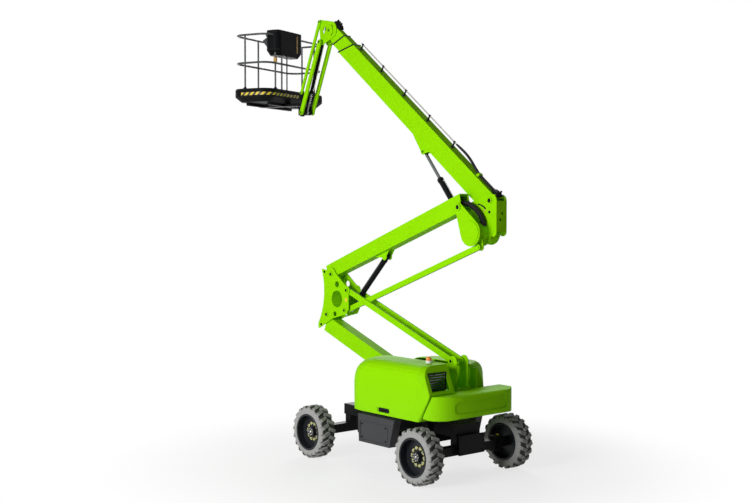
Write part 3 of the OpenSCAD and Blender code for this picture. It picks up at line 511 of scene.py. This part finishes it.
def wheel_fasteners(corner):
    """Wheel nuts with pale pointers, and the bolts of the hub's cover."""
    body = "wheel_" + corner
    centre = PIN["spin_" + corner]
    side = math.copysign(1.0, centre.y)
    out = LEFT * side
    nuts = bmesh.new()
    flags = bmesh.new()
    for turn in circle(NUT_COUNT):
        around = Vector((math.cos(turn), 0.0, math.sin(turn)))
        place = facing(shifted(centre + NUT_CIRCLE * around, side * DISC_FACE), out, around)
        hex_bolt(nuts, place, NUT_SIZE)
        lathe(flags, FLAG_CUP, place, segments=16)
        prism(flags, FLAG_POINTER, moved(place, FLAG_LIFT), FLAG_THICK)
    for turn in circle(HUB_BOLTS):
        around = Vector((math.cos(turn), 0.0, math.sin(turn)))
        place = facing(shifted(centre + HUB_CIRCLE * around, side * HUB_FACE), out, around)
        hex_bolt(nuts, place, HUB_BOLT_SIZE)
    lathe(nuts, HUB_CAP, facing(shifted(centre, side * HUB_FACE), out), segments=20)
    make("wheel_nuts_" + corner, nuts, zinc, body)
    make("nut_pointers_" + corner, flags, yellow_plastic, body)


for corner in ("front_left", "front_right", "rear_left", "rear_right"):
    wheel_fasteners(corner)


# Pins

# Collar and end of a pin in shares of its radius, with their heights
CAP_RISE = 0.007
CAP_RING = [(0.74, -0.008), (1.24, -0.008), (1.24, CAP_RISE * 0.5), (1.12, CAP_RISE), (0.80, CAP_RISE),
            (0.74, CAP_RISE * 0.6), (0.74, -0.008)]
PIN_END = [(0.0, -0.006), (0.74, -0.006), (0.74, 0.002), (0.66, 0.004), (0.0, 0.004)]
PIN_BOLT_LIFT = 0.004
PIN_BOLT_SHARE = 0.45


def pin_caps(name, body, at, outs, radius):
    """A turned collar on each shown end of a pin, with the pin's end and its retaining bolt in it."""
    caps = bmesh.new()
    ends = bmesh.new()
    # A pin with one shown end faces away from the centreline
    middle = sum(outs) / len(outs) if len(outs) > 1 else 0.0
    for y in outs:
        side = math.copysign(1.0, y - middle)
        place = facing(shifted(at, y), LEFT * side)
        lathe(caps, [(radius * share, height) for share, height in CAP_RING], place, segments=28)
        lathe(ends, [(radius * share, height) for share, height in PIN_END], place, segments=24)
        hex_bolt(ends, moved(place, PIN_BOLT_LIFT), radius * PIN_BOLT_SHARE)
    make(name + "_caps", caps, paint, body)
    make(name + "_ends", ends, black_paint, body)


# Distance of a pin's ends from the centreline, or from the upper boom's own plane
POST_ENDS = (0.140, -0.140)
LINK_ENDS = (0.140, -0.140)
LINK_NEAR_END = (0.140,)
CHEEK_END = (0.145,)
BASE_ENDS = (UPPER_Y + 0.074, UPPER_Y - 0.074)
HEAD_ENDS = (-0.105, -0.350)
EYE_ENDS = (UPPER_Y + 0.056, UPPER_Y - 0.056)
NOSE_ENDS = (UPPER_Y + 0.080, UPPER_Y - 0.080)
BAR_ENDS = (UPPER_Y + 0.146, UPPER_Y - 0.146)
TIE_ENDS = (UPPER_Y + 0.108, UPPER_Y - 0.076)

# Name, body, pin, ends, radius
PIN_CAPS = [
    ("post_lower", "turret", "lower_lift", POST_ENDS, 0.040),
    ("post_tie", "turret", "lower_tie_pivot", POST_ENDS, 0.036),
    ("link_lower", "mid_link", "mid_link_pivot", LINK_ENDS, 0.040),
    ("link_low_tie", "mid_link", "mid_tie", LINK_ENDS, 0.034),
    ("link_second", "mid_link", "second_lift", LINK_NEAR_END, 0.040),
    ("link_high_tie", "mid_link", "second_tie_pivot", LINK_ENDS, 0.034),
    ("upright_boom", "upper_link", "upper_link_pivot", CHEEK_END, 0.046),
    ("upright_base", "upper_link", "upper_base", BASE_ENDS, 0.026),
    ("upright_head", "upper_link", "upper_lift", HEAD_ENDS, 0.044),
    ("ram_eye", "upper_boom", "upper_rod_pivot", EYE_ENDS, 0.024),
    ("head_nose", "jib_head", "jib_level", NOSE_ENDS, 0.030),
    ("head_bars", "jib_head", "jib_lift", BAR_ENDS, 0.032),
    ("head_tie", "jib_head", "jib_tie_pivot", TIE_ENDS, 0.024),
    ("carrier_bars", "carrier", "carrier_level", BAR_ENDS, 0.032),
    ("carrier_tie", "carrier", "carrier_tie", TIE_ENDS, 0.024),
]
for name, body, pin, outs, radius in PIN_CAPS:
    pin_caps(name, body, PIN[pin], outs, radius)


# Chassis and turret

COVER_OUT = 1.0
PANEL = ((-0.60, 0.06), (0.52, 0.80))
PANEL_CORNER = 0.035
BEAD_MARGIN = 0.03
BEAD_RADIUS = 0.008
SCREW_INSET = 0.035
SCREW_SINK = 0.004
SCREW_SIZE = 0.020


def cover_trim(word, side):
    """A moulded bead round the panel of a side cover, with a screw at each corner."""
    bead = bmesh.new()
    screws = bmesh.new()
    (x0, x1), (z0, z1) = PANEL
    width = x1 - x0
    height = z1 - z0
    middle = Vector(((x0 + x1) / 2, side * COVER_OUT, (z0 + z1) / 2))
    place = facing(middle, LEFT * side)
    loop = rounded(width + BEAD_MARGIN, height + BEAD_MARGIN, PANEL_CORNER)
    sweep(bead, [place @ Vector((0.0, y, z)) for y, z in loop], BEAD_RADIUS, sides=10, closed=True)
    for sy in (-1, 1):
        for sz in (-1, 1):
            y = sy * (width / 2 - SCREW_INSET)
            z = sz * (height / 2 - SCREW_INSET)
            hex_bolt(screws, moved(place, -SCREW_SINK, y, z), SCREW_SIZE)
    make("cover_bead_" + word, bead, plastic, "chassis")
    make("cover_screws_" + word, screws, black_paint, "chassis")


# Latch: plate and paddle by width, height and corner, then the lock beside the paddle
LATCH_X = {"left": -0.46, "right": -0.39}
LATCH_Z = 1.037
LATCH_SINK = 0.012
LATCH_PLATE = (0.260, 0.070, 0.024)
LATCH_PADDLE = (0.090, 0.050, 0.014)
LATCH_THICK = 0.010
LATCH_EDGE = 0.004
PADDLE_LIFT = 0.008
PADDLE_REACH = 0.060
LOCK_REACH = -0.085
LOCK = [(0.0, 0.014), (0.012, 0.014), (0.015, 0.010), (0.015, -0.004), (0.0, -0.004)]


def cowl_latch(word, side):
    """A paddle latch in the recess of a cowl."""
    latch = bmesh.new()
    out = side * (max(abs(corner[1]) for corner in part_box("cowl_" + word)) - LATCH_SINK)
    place = facing((LATCH_X[word], out, LATCH_Z), LEFT * side)
    prism(latch, rounded(*LATCH_PLATE), place, LATCH_THICK, LATCH_EDGE)
    paddle_at = moved(place, PADDLE_LIFT, PADDLE_REACH * side)
    prism(latch, rounded(*LATCH_PADDLE), paddle_at, LATCH_THICK, LATCH_EDGE)
    lathe(latch, LOCK, moved(place, 0.0, LOCK_REACH * side), segments=18)
    make("latch_" + word, latch, black_plastic, "cowl_" + word)


for word, side in SIDES:
    cover_trim(word, side)
    cowl_latch(word, side)

AXLE_PLATE_X = -1.502
AXLE_BOLTS = [(y, z) for y in (-0.24, 0.24) for z in (0.42, 0.65)]
AXLE_BOLT_SIZE = 0.030
axle_bolts = bmesh.new()
for y, z in AXLE_BOLTS:
    hex_bolt(axle_bolts, facing((AXLE_PLATE_X, y, z), BACK), AXLE_BOLT_SIZE)
make("axle_plate_bolts", axle_bolts, black_paint, "chassis")

KINGPIN_X = -1.342
KINGPIN_Y = 0.74
KINGPIN_TOP = 0.569
KINGPIN_PLUG = [(0.0, 0.020), (0.010, 0.020), (0.013, 0.016), (0.015, 0.004), (0.024, 0.004),
                (0.026, 0.000), (0.026, -0.004), (0.0, -0.004)]
for word, side in SIDES:
    plug = bmesh.new()
    lathe(plug, KINGPIN_PLUG, facing((KINGPIN_X, side * KINGPIN_Y, KINGPIN_TOP), UP, BACK), segments=20)
    make("kingpin_plug_" + word, plug, yellow_paint, "knuckle_" + word)


# Hose guide on the upper boom

ROD_START = 1.23
ROD_END = 4.30
ROD_STEPS = 12
ROD_HEIGHT = 0.190
ROD_RADIUS = 0.012
STANDOFFS = (1.30, 2.05, 2.80, 3.55, 4.25)
STANDOFF_FOOT = (0.050, 0.060, 0.012)
STANDOFF_FOOT_THICK = 0.008
STANDOFF_BAR = (0.016, 0.030, 0.004)
STANDOFF_EDGE = 0.002
STANDOFF_SINK = 0.001
CLAMP_BORE = ROD_RADIUS + 0.001
CLAMP_OUTER = ROD_RADIUS + 0.006
CLAMP_HALF = 0.018
CLAMP = [(CLAMP_BORE, -CLAMP_HALF), (CLAMP_OUTER, -CLAMP_HALF), (CLAMP_OUTER, CLAMP_HALF),
         (CLAMP_BORE, CLAMP_HALF), (CLAMP_BORE, -CLAMP_HALF)]

guide = bmesh.new()
guide_steps = [ROD_START + (ROD_END - ROD_START) * k / ROD_STEPS for k in range(ROD_STEPS + 1)]
sweep(guide, [on_boom(x, ROD_HEIGHT) for x in guide_steps], ROD_RADIUS, sides=12)
make("hose_guide", guide, zinc, "upper_boom")
stands = bmesh.new()
for x in STANDOFFS:
    foot = facing(on_boom(x, BOOM_TOP - STANDOFF_SINK), BOOM_UP, BOOM_AXIS)
    prism(stands, rounded(*STANDOFF_FOOT), foot, STANDOFF_FOOT_THICK, STANDOFF_EDGE)
    prism(stands, rounded(*STANDOFF_BAR), foot, ROD_HEIGHT - BOOM_TOP, STANDOFF_EDGE)
    lathe(stands, CLAMP, facing(on_boom(x, ROD_HEIGHT), BOOM_AXIS), segments=16)
make("guide_standoffs", stands, black_paint, "upper_boom")


# Hoses on the upper boom: points along and above it, spread to both sides after the guide

HOSE_RADIUS = 0.013
HOSE_SPREAD = 0.016
HOSE_STEP = 0.03
HOSE_RUN = [(1.235, 0.190), (1.10, 0.196), (0.96, 0.197), (0.82, 0.180), (0.68, 0.148), (0.54, 0.120),
            (0.40, 0.108), (0.26, 0.106), (0.10, 0.110)]
for word, side in SIDES:
    y = side * HOSE_SPREAD
    hose = bmesh.new()
    fan = [on_boom(x, z, y if k else y / 2) for k, (x, z) in enumerate(HOSE_RUN)]
    route = smooth_path(fan, HOSE_STEP)
    sweep(hose, route, HOSE_RADIUS, sides=12)
    obj = make("boom_hose_" + word, hose, hose_rubber, "upper_boom")

SADDLE_X = 0.49
SADDLE = [(-0.055, 0.0), (0.055, 0.0), (0.055, 0.010), (0.036, 0.046), (-0.036, 0.046), (-0.055, 0.010)]
SADDLE_THICK = 0.050
SADDLE_EDGE = 0.004
lug = bmesh.new()
prism(lug, SADDLE, facing(on_boom(SADDLE_X, BOOM_TOP), BOOM_AXIS, BOOM_UP), SADDLE_THICK, SADDLE_EDGE)
make("hose_saddle", lug, paint, "upper_boom")

# Manifold at the boom's foot: block, hose ends and valves
MANIFOLD_X = 0.035
MANIFOLD_SINK = 0.002
MANIFOLD_BLOCK = (0.110, 0.150, 0.012)
MANIFOLD_THICK = 0.050
MANIFOLD_EDGE = 0.006
FERRULE = [(0.0, 0.0), (0.017, 0.0), (0.017, 0.032), (0.021, 0.034), (0.021, 0.050), (0.0, 0.052)]
FERRULE_REACH = 0.060
FERRULE_HEIGHT = 0.110
CARTRIDGE = [(0.0, 0.095), (0.014, 0.095), (0.016, 0.090), (0.016, 0.060), (0.022, 0.060), (0.022, 0.040),
             (0.0, 0.040)]
CARTRIDGE_SPREAD = 0.028
CARTRIDGE_BACK = -0.035
manifold = bmesh.new()
block = facing(on_boom(MANIFOLD_X, BOOM_TOP - MANIFOLD_SINK), BOOM_UP, BOOM_AXIS)
prism(manifold, rounded(*MANIFOLD_BLOCK), block, MANIFOLD_THICK, MANIFOLD_EDGE)
for k in (-1, 1):
    ferrule_at = on_boom(MANIFOLD_X + FERRULE_REACH, FERRULE_HEIGHT, k * HOSE_SPREAD)
    lathe(manifold, FERRULE, facing(ferrule_at, BOOM_AXIS), segments=HEX)
    lathe(manifold, CARTRIDGE, moved(block, 0.0, k * CARTRIDGE_SPREAD, CARTRIDGE_BACK), segments=14)
make("boom_manifold", manifold, black_paint, "upper_boom")

# Valve block on the boom's nose, with three coils and two ports
VALVE_X = 5.06
VALVE_BASE = 0.058
VALVE_BLOCK = (0.086, 0.190, 0.010)
VALVE_THICK = 0.075
VALVE_EDGE = 0.006
COIL = [(0.0, 0.118), (0.016, 0.118), (0.019, 0.114), (0.019, 0.090), (0.024, 0.090), (0.024, 0.070),
        (0.0, 0.070)]
COIL_PITCH = 0.058
PORT = [(0.0, 0.0), (0.014, 0.0), (0.014, 0.022), (0.019, 0.022), (0.019, 0.036), (0.010, 0.040),
        (0.0, 0.040)]
PORT_BACK = 0.09
PORT_RISE = 0.040
PORT_SPREAD = 0.024
valve = bmesh.new()
block = facing(on_boom(VALVE_X, VALVE_BASE), BOOM_UP, BOOM_AXIS)
prism(valve, rounded(*VALVE_BLOCK), block, VALVE_THICK, VALVE_EDGE)
for k in (-1, 0, 1):
    lathe(valve, COIL, moved(block, 0.0, 0.0, k * COIL_PITCH), segments=16)
for k in (-1, 1):
    port_at = on_boom(VALVE_X - PORT_BACK, VALVE_BASE + PORT_RISE, k * PORT_SPREAD)
    lathe(valve, PORT, facing(port_at, -BOOM_AXIS), segments=HEX)
make("nose_valve", valve, black_paint, "inner_boom")


# Links

# Corrugated sleeve from the second boom's open end down to the upper link
SLEEVE = [(-1.14, 0.0, 4.292), (-1.25, -0.008, 4.330), (-1.36, -0.022, 4.326), (-1.46, -0.038, 4.280),
          (-1.55, -0.050, 4.212), (-1.62, -0.058, 4.132), (-1.665, -0.062, 4.050), (-1.685, -0.064, 3.970)]
SLEEVE_RADIUS = 0.038
SLEEVE_RIDGE = 0.005
SLEEVE_STEP = 0.011
route = smooth_path(SLEEVE, SLEEVE_STEP)
sleeve = bmesh.new()
sweep(sleeve, route, SLEEVE_RADIUS, sides=20, ridge=SLEEVE_RIDGE)
sleeve_obj = make("link_sleeve", sleeve, hose_rubber)
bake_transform(sleeve_obj)

# Curved lever, bolt and round marker on the upper link's plate
PLATE_FACE = -0.115
LEVER = [(-1.505, 4.318), (-1.56, 4.306), (-1.62, 4.282), (-1.672, 4.246)]
LEVER_LIFT = 0.004
LEVER_RADIUS = 0.011
LEVER_STEP = 0.012
LEVER_BOLT = (-1.754, 4.195)
LINK_BOLT_SIZE = 0.030
LINK_MARK = (-1.644, 4.224)
LINK_MARK_DISC = [(0.0, 0.008), (0.012, 0.007), (0.016, 0.002), (0.016, -0.002), (0.0, -0.002)]
lever = bmesh.new()
lever_route = smooth_path([(x, PLATE_FACE + LEVER_LIFT, z) for x, z in LEVER], LEVER_STEP)
sweep(lever, lever_route, LEVER_RADIUS, sides=10)
hex_bolt(lever, facing((LEVER_BOLT[0], PLATE_FACE, LEVER_BOLT[1]), LEFT), LINK_BOLT_SIZE)
make("link_lever", lever, black_paint, "upper_link")
marker = bmesh.new()
lathe(marker, LINK_MARK_DISC, facing((LINK_MARK[0], PLATE_FACE, LINK_MARK[1]), LEFT), segments=18)
make("link_marker", marker, tan_plastic, "upper_link")

# Corner bolts and square marker on the mid link's plate
MID_FACE = 0.130
MID_CORNERS = [(2.146, 3.105), (2.244, 2.149)]
MID_MARK = (1.525, 2.634)
MID_MARK_SQUARE = (0.060, 0.060, 0.010)
MID_MARK_THICK = 0.003
corner_bolts = bmesh.new()
for x, z in MID_CORNERS:
    hex_bolt(corner_bolts, facing((x, MID_FACE, z), LEFT), LINK_BOLT_SIZE)
make("mid_link_bolts", corner_bolts, black_paint, "mid_link")
mid_mark = bmesh.new()
mid_mark_at = facing((MID_MARK[0], MID_FACE, MID_MARK[1]), LEFT)
prism(mid_mark, rounded(*MID_MARK_SQUARE), mid_mark_at, MID_MARK_THICK)
make("mid_link_marker", mid_mark, yellow_paint, "mid_link")


# Cylinders

# Rings on a barrel by height over its wall and place along it
# The gland is placed from the open end, the band from the base
GLAND = [(-0.001, -0.060), (0.007, -0.058), (0.007, -0.012), (0.003, -0.006), (-0.001, -0.006),
         (-0.001, -0.060)]
BAND = [(-0.001, 0.075), (0.005, 0.077), (0.005, 0.105), (-0.001, 0.107), (-0.001, 0.075)]
# Feed pipe by place along the barrel and height over its wall
# Its start is placed from the base, its end from the open end
FEED_FROM = [(0.120, -0.004), (0.120, 0.006), (0.132, 0.016), (0.180, 0.016)]
FEED_TO = [(-0.140, 0.016), (-0.094, 0.016), (-0.082, 0.006), (-0.082, -0.004)]
FEED_RADIUS = 0.007
FEED_PORT = [(0.0, 0.0), (0.015, 0.0), (0.015, 0.012), (0.011, 0.014), (0.0, 0.014)]
FEED_PORT_SINK = 0.003


def ram_trim(word, body, base, eye, y, length, radius, turn=1.0):
    """Gland, band, ports and a feed pipe on a cylinder's barrel."""
    start = shifted(base, y)
    place = facing(start, (shifted(eye, y) - start).normalized())
    gland = bmesh.new()
    lathe(gland, [(radius + rise, length + x) for rise, x in GLAND], place, segments=28)
    lathe(gland, [(radius + rise, x) for rise, x in BAND], place, segments=28)
    make(word + "_gland", gland, black_paint, body)
    feed = bmesh.new()
    pipe = [(x, radius + rise) for x, rise in FEED_FROM]
    pipe += [(length + x, radius + rise) for x, rise in FEED_TO]
    sweep(feed, smooth_path([place @ Vector((x, 0.0, turn * z)) for x, z in pipe]), FEED_RADIUS, sides=10)
    for x in (pipe[0][0], pipe[-1][0]):
        seat = facing((x, 0.0, turn * (radius - FEED_PORT_SINK)), UP * turn, AHEAD)
        lathe(feed, FEED_PORT, place @ seat, segments=HEX)
    make(word + "_feed", feed, zinc, body)


ram_trim("lift_ram", "lift_barrel", PIN["lift_barrel_pivot"], PIN["second_tie_pivot"],
         PIN["lift_barrel_pivot"].y, length=1.010, radius=0.045)
ram_trim("upper_ram", "upper_barrel", PIN["upper_base"], PIN["upper_rod_pivot"],
         UPPER_Y, length=1.085, radius=0.048)
ram_trim("jib_ram", "jib_barrel", PIN["jib_barrel_pivot"], PIN["carrier_level"],
         UPPER_Y, length=1.100, radius=0.036, turn=-1.0)


# Basket tray

STRIP_FROM = 0.074
STRIP_TO = 0.127
STRIP_RISE = 0.003
STRIP_SINK = -0.004
STRIP_SECTION = [(STRIP_SINK, STRIP_TO), (STRIP_RISE, STRIP_TO), (STRIP_RISE, STRIP_FROM),
                 (STRIP_SINK, STRIP_FROM)]
REAR_STEPS = 12
CORNER_STEPS = 12
END_STEPS = 6


def tray_edge():
    """Points and outward directions along the tray's rear side and round its left end."""
    half_depth = BASKET_DEPTH / 2
    half_width = BASKET_WIDTH / 2
    run = half_width - TRAY_CORNER
    bend = TRAY_CORNER - half_depth
    end = BASKET_DEPTH - 2 * TRAY_CORNER
    edge = [(Vector((-half_depth, run * k / REAR_STEPS)), Vector((-1.0, 0.0))) for k in range(REAR_STEPS)]
    for k in range(CORNER_STEPS + 1):
        a = math.pi - math.pi / 2 * k / CORNER_STEPS
        out = Vector((math.cos(a), math.sin(a)))
        edge.append((Vector((bend, run)) + TRAY_CORNER * out, out))
    for k in range(1, END_STEPS + 1):
        edge.append((Vector((bend + end * k / END_STEPS, half_width)), Vector((0.0, 1.0))))
    return edge


def hazard_strip():
    """A thin striped band round the tray, with its length and height kept for the stripes."""
    bm = bmesh.new()
    uv = bm.loops.layers.uv.new("strip")
    rings = []
    place_of = {}
    along = 0.0
    edge = tray_edge()
    for k, (point, out) in enumerate(edge):
        along += (point - edge[k - 1][0]).length if k else 0.0
        ring = []
        for off, down in STRIP_SECTION:
            at = point + off * out
            vert = bm.verts.new(in_basket(at.x, at.y, TRAY_TOP - down))
            place_of[vert] = (along, down)
            ring.append(vert)
        rings.append(ring)
    faces = [bm.faces.new(rings[0]), bm.faces.new(rings[-1][::-1])]
    for low, high in zip(rings, rings[1:]):
        faces += [bm.faces.new([low[i - 1], low[i], high[i], high[i - 1]]) for i in range(len(low))]
    for face in faces:
        for loop in face.loops:
            loop[uv].uv = place_of[loop.vert]
    make("hazard_strip", bm, stripes, "basket")


hazard_strip()


# Console

CONSOLE_X = -0.325
CONSOLE_Y = 0.3525
CONSOLE_DEPTH = 0.300
CONSOLE_WIDTH = 0.885
CONSOLE_CORNER = 0.110
SEAM_RISE = 0.001
SEAM_RADIUS = 0.006
SEAM_HEIGHTS = (CONSOLE_HIGH - 0.040, CONSOLE_LOW + 0.110)
seam = bmesh.new()
outline = rounded(CONSOLE_DEPTH + SEAM_RISE, CONSOLE_WIDTH + SEAM_RISE, CONSOLE_CORNER, steps=8)
for z in SEAM_HEIGHTS:
    loop = [in_basket(CONSOLE_X + x, CONSOLE_Y + y, z) for x, y in outline]
    sweep(seam, loop, SEAM_RADIUS, sides=8, closed=True)
make("console_seams", seam, black_plastic, "basket")

# Lid, and the desk that carries the controls on the inner side
LID = (CONSOLE_WIDTH - 0.09, CONSOLE_DEPTH - 0.05, 0.085)
LID_SINK = 0.002
LID_THICK = 0.012
LID_EDGE = 0.005
DESK_WIDTH = 0.62
DESK_SINK = 0.004
DESK_DOWN = 0.090
DESK = [(0.0, 0.0), (0.0, -0.200), (-0.040, -0.200), (-0.130, -0.090), (-0.130, -0.072)]
inner_face = CONSOLE_X + CONSOLE_DEPTH / 2
lid = bmesh.new()
lid_at = basket_place(CONSOLE_X, CONSOLE_Y, CONSOLE_HIGH - LID_SINK)
prism(lid, rounded(*LID), lid_at, LID_THICK, LID_EDGE)
desk_at = basket_place(inner_face - DESK_SINK, CONSOLE_Y - DESK_WIDTH / 2, CONSOLE_HIGH - DESK_DOWN,
                       LEFT, UP)
prism(lid, DESK, desk_at, DESK_WIDTH)
make("console_lid", lid, plastic, "basket")

# Joysticks with their bellows, a row of switches and the stop button on the sloping panel
PANEL_OUT = 0.063
PANEL_DOWN = 0.126
PANEL_SLOPE = Vector((0.485, 0.0, 0.875))
STICK = [(0.0, -0.004), (0.040, -0.004), (0.040, 0.004), (0.032, 0.009), (0.036, 0.014), (0.026, 0.019),
         (0.029, 0.024), (0.017, 0.030), (0.009, 0.034), (0.009, 0.050), (0.017, 0.056), (0.019, 0.078),
         (0.013, 0.087), (0.0, 0.089)]
STICK_REACH = (-0.22, 0.22)
SWITCH = [(0.0, -0.004), (0.013, -0.004), (0.012, 0.005), (0.005, 0.007), (0.004, 0.024), (0.006, 0.031),
          (0.0, 0.033)]
SWITCH_COUNT = 6
SWITCH_START = -0.125
SWITCH_PITCH = 0.05
SWITCH_ROW = 0.025
STOP = [(0.0, -0.004), (0.014, -0.004), (0.014, 0.014), (0.026, 0.016), (0.028, 0.024), (0.020, 0.032),
        (0.0, 0.034)]
STOP_ROW = -0.028
panel = basket_place(inner_face + PANEL_OUT, CONSOLE_Y, CONSOLE_HIGH - PANEL_DOWN, PANEL_SLOPE, LEFT)
sticks = bmesh.new()
for reach in STICK_REACH:
    lathe(sticks, STICK, moved(panel, 0.0, 0.0, reach), segments=20)
for k in range(SWITCH_COUNT):
    lathe(sticks, SWITCH, moved(panel, 0.0, SWITCH_ROW, SWITCH_START + SWITCH_PITCH * k), segments=12)
make("console_controls", sticks, black_plastic, "basket")
stop = bmesh.new()
lathe(stop, STOP, moved(panel, 0.0, STOP_ROW), segments=24)
make("console_stop", stop, red_plastic, "basket")

# Upright strip on the console's outer side
TAB = (0.034, 0.330, 0.012)
TAB_Y = 0.14
TAB_SINK = 0.002
TAB_LIFT = 0.02
TAB_THICK = 0.008
TAB_EDGE = 0.003
outer_face = CONSOLE_X - CONSOLE_DEPTH / 2
strip = bmesh.new()
console_middle = (CONSOLE_LOW + CONSOLE_HIGH) / 2
strip_at = basket_place(outer_face + TAB_SINK, TAB_Y, console_middle + TAB_LIFT, BACK, UP)
prism(strip, rounded(*TAB), strip_at, TAB_THICK, TAB_EDGE)
make("console_strip", strip, tan_plastic, "basket")


# Basket posts

POSTS = [(-0.375, 0.740), (-0.375, -0.650), (0.375, 0.180), (0.375, -0.650), (0.120, 1.000),
         (0.120, -1.000)]
COLLAR = [(0.0195, -0.045), (0.030, -0.045), (0.034, -0.038), (0.034, 0.038), (0.030, 0.045),
          (0.0195, 0.045), (0.0195, -0.045)]
COLLAR_DOWN = 0.085
FOOT = [(0.0195, 0.0), (0.048, 0.0), (0.048, 0.006), (0.028, 0.009), (0.024, 0.030), (0.0195, 0.032),
        (0.0195, 0.0)]
FOOT_SINK = 0.001
FOOT_BOLTS = 3
FOOT_BOLT_CIRCLE = 0.038
FOOT_BOLT_LIFT = 0.006
FOOT_BOLT_SIZE = 0.010
collar = bmesh.new()
lathe(collar, COLLAR, basket_place(*POSTS[0], CONSOLE_LOW - COLLAR_DOWN), segments=24)
make("post_collar", collar, tan_plastic, "basket")
feet = bmesh.new()
for x, y in POSTS:
    foot = basket_place(x, y, TRAY_TOP - FOOT_SINK)
    lathe(feet, FOOT, foot, segments=24)
    for a in circle(FOOT_BOLTS):
        across = FOOT_BOLT_CIRCLE * math.cos(a)
        along = FOOT_BOLT_CIRCLE * math.sin(a)
        hex_bolt(feet, moved(foot, FOOT_BOLT_LIFT, across, along), FOOT_BOLT_SIZE)
make("post_feet", feet, black_paint, "basket")

# Corrugated loom from the tray up into the console
LOOM_X = -0.411
LOOM_Y = 0.400
LOOM_RADIUS = 0.011
LOOM_RIDGE = 0.003
LOOM_STEPS = 76
LOOM_LOW = TRAY_TOP - 0.004
LOOM_RISE = CONSOLE_LOW + 0.080 - TRAY_TOP
route = [in_basket(LOOM_X, LOOM_Y, LOOM_LOW + LOOM_RISE * k / LOOM_STEPS) for k in range(LOOM_STEPS + 1)]
loom = bmesh.new()
sweep(loom, route, LOOM_RADIUS, sides=12, ridge=LOOM_RIDGE)
loom_obj = make("console_loom", loom, hose_rubber, "basket")
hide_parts("control_loom")


# Studio

# Strength of the surroundings as a lamp; they look white all the same
WORLD_LEVEL = 0.09
LOOK_AT = Vector((0.8, 0.0, 2.8))
LAMP_SIZE = 8.0
# Place and power of each lamp
LAMPS = {"key": ((-1.5, 17.0, 6.5), 2650.0), "far": ((13.0, -10.0, 9.0), 1300.0)}
# The floor fades to white between these distances from the slew axis
FLOOR_NEAR = 2.2
FLOOR_FAR = 5.5
# Share of white in the floor close to the machine, so that only its shadow shows
FLOOR_GLOW = 0.72
FLOOR_HALF = 60.0
FLOOR_TONE = (0.90, 0.90, 0.90)
FLOOR_ROUGHNESS = 0.9


def area_light(name, at, power):
    """A soft square lamp that looks at the machine."""
    data = bpy.data.lights.new(name, "AREA")
    data.shape = "SQUARE"
    data.size = LAMP_SIZE
    data.energy = power
    lamp = bpy.data.objects.new(name, data)
    lamp.location = at
    lamp.rotation_euler = (LOOK_AT - Vector(at)).to_track_quat("-Z", "Y").to_euler()
    bpy.context.scene.collection.objects.link(lamp)


def shown_rays(tree):
    """1 on rays from the camera, and on those that a mirror or glass sends on; 0 on the rest."""
    rays = add(tree, "LightPath").outputs
    last = rays["Is Camera Ray"]
    for kind in ("Is Glossy Ray", "Is Transmission Ray"):
        last = add(tree, "Math", None, {0: last, 1: rays[kind]}, "MAXIMUM").outputs["Value"]
    return last


def studio():
    """White surroundings and two soft lamps."""
    world = bpy.data.worlds.new("studio")
    bpy.context.scene.world = world
    world.use_nodes = True
    tree = world.node_tree
    back = tree.nodes["Background"]
    back.inputs["Color"].default_value = (1.0, 1.0, 1.0, 1.0)
    level = add(tree, "MapRange", {"To Min": WORLD_LEVEL, "To Max": 1.0}, {"Value": shown_rays(tree)})
    tree.links.new(level.outputs["Result"], back.inputs["Strength"])
    for name, (at, power) in LAMPS.items():
        area_light(name, at, power)


def floor():
    """A wide pale floor that fades to white."""
    mesh = bpy.data.meshes.new("floor")
    corners = [(-FLOOR_HALF, -FLOOR_HALF, 0), (FLOOR_HALF, -FLOOR_HALF, 0), (FLOOR_HALF, FLOOR_HALF, 0),
               (-FLOOR_HALF, FLOOR_HALF, 0)]
    mesh.from_pydata(corners, [], [(0, 1, 2, 3)])
    obj = bpy.data.objects.new("floor", mesh)
    bpy.context.scene.collection.objects.link(obj)
    made, tree, bsdf = shader("floor")
    bsdf.inputs["Base Color"].default_value = rgba(FLOOR_TONE)
    bsdf.inputs["Roughness"].default_value = FLOOR_ROUGHNESS
    place = add(tree, "TexCoord").outputs["Object"]
    reach = add(tree, "VectorMath", None, {0: place}, "LENGTH").outputs["Value"]
    fade = add(tree, "MapRange", {"From Min": FLOOR_NEAR, "From Max": FLOOR_FAR, "To Min": FLOOR_GLOW},
               {"Value": reach})
    fade.interpolation_type = "SMOOTHSTEP"
    share = add(tree, "Math", None, {0: fade.outputs["Result"], 1: shown_rays(tree)}, "MULTIPLY")
    white = add(tree, "Emission")
    mix = add(tree, "MixShader", None, {"Fac": share.outputs["Value"], 1: bsdf.outputs["BSDF"],
                                        2: white.outputs["Emission"]})
    tree.links.new(mix.outputs["Shader"], tree.nodes["Material Output"].inputs["Surface"])
    mesh.materials.append(made)


def photo_camera():
    """The camera that took the photograph."""
    data = bpy.data.cameras.new("camera")
    data.sensor_width = SENSOR
    data.lens = FOCAL_PX * SENSOR / PHOTO_WIDTH
    data.clip_end = CAMERA_REACH
    camera = bpy.data.objects.new("camera", data)
    bpy.context.scene.collection.objects.link(camera)
    level = math.cos(CAMERA_PITCH)
    ahead = Vector((math.cos(CAMERA_YAW) * level, math.sin(CAMERA_YAW) * level, math.sin(CAMERA_PITCH)))
    camera.location = CAMERA_AT
    camera.rotation_euler = ahead.to_track_quat("-Z", "Y").to_euler()
    bpy.context.scene.camera = camera


studio()
floor()
photo_camera()
bpy.context.scene.view_settings.view_transform = "Standard"
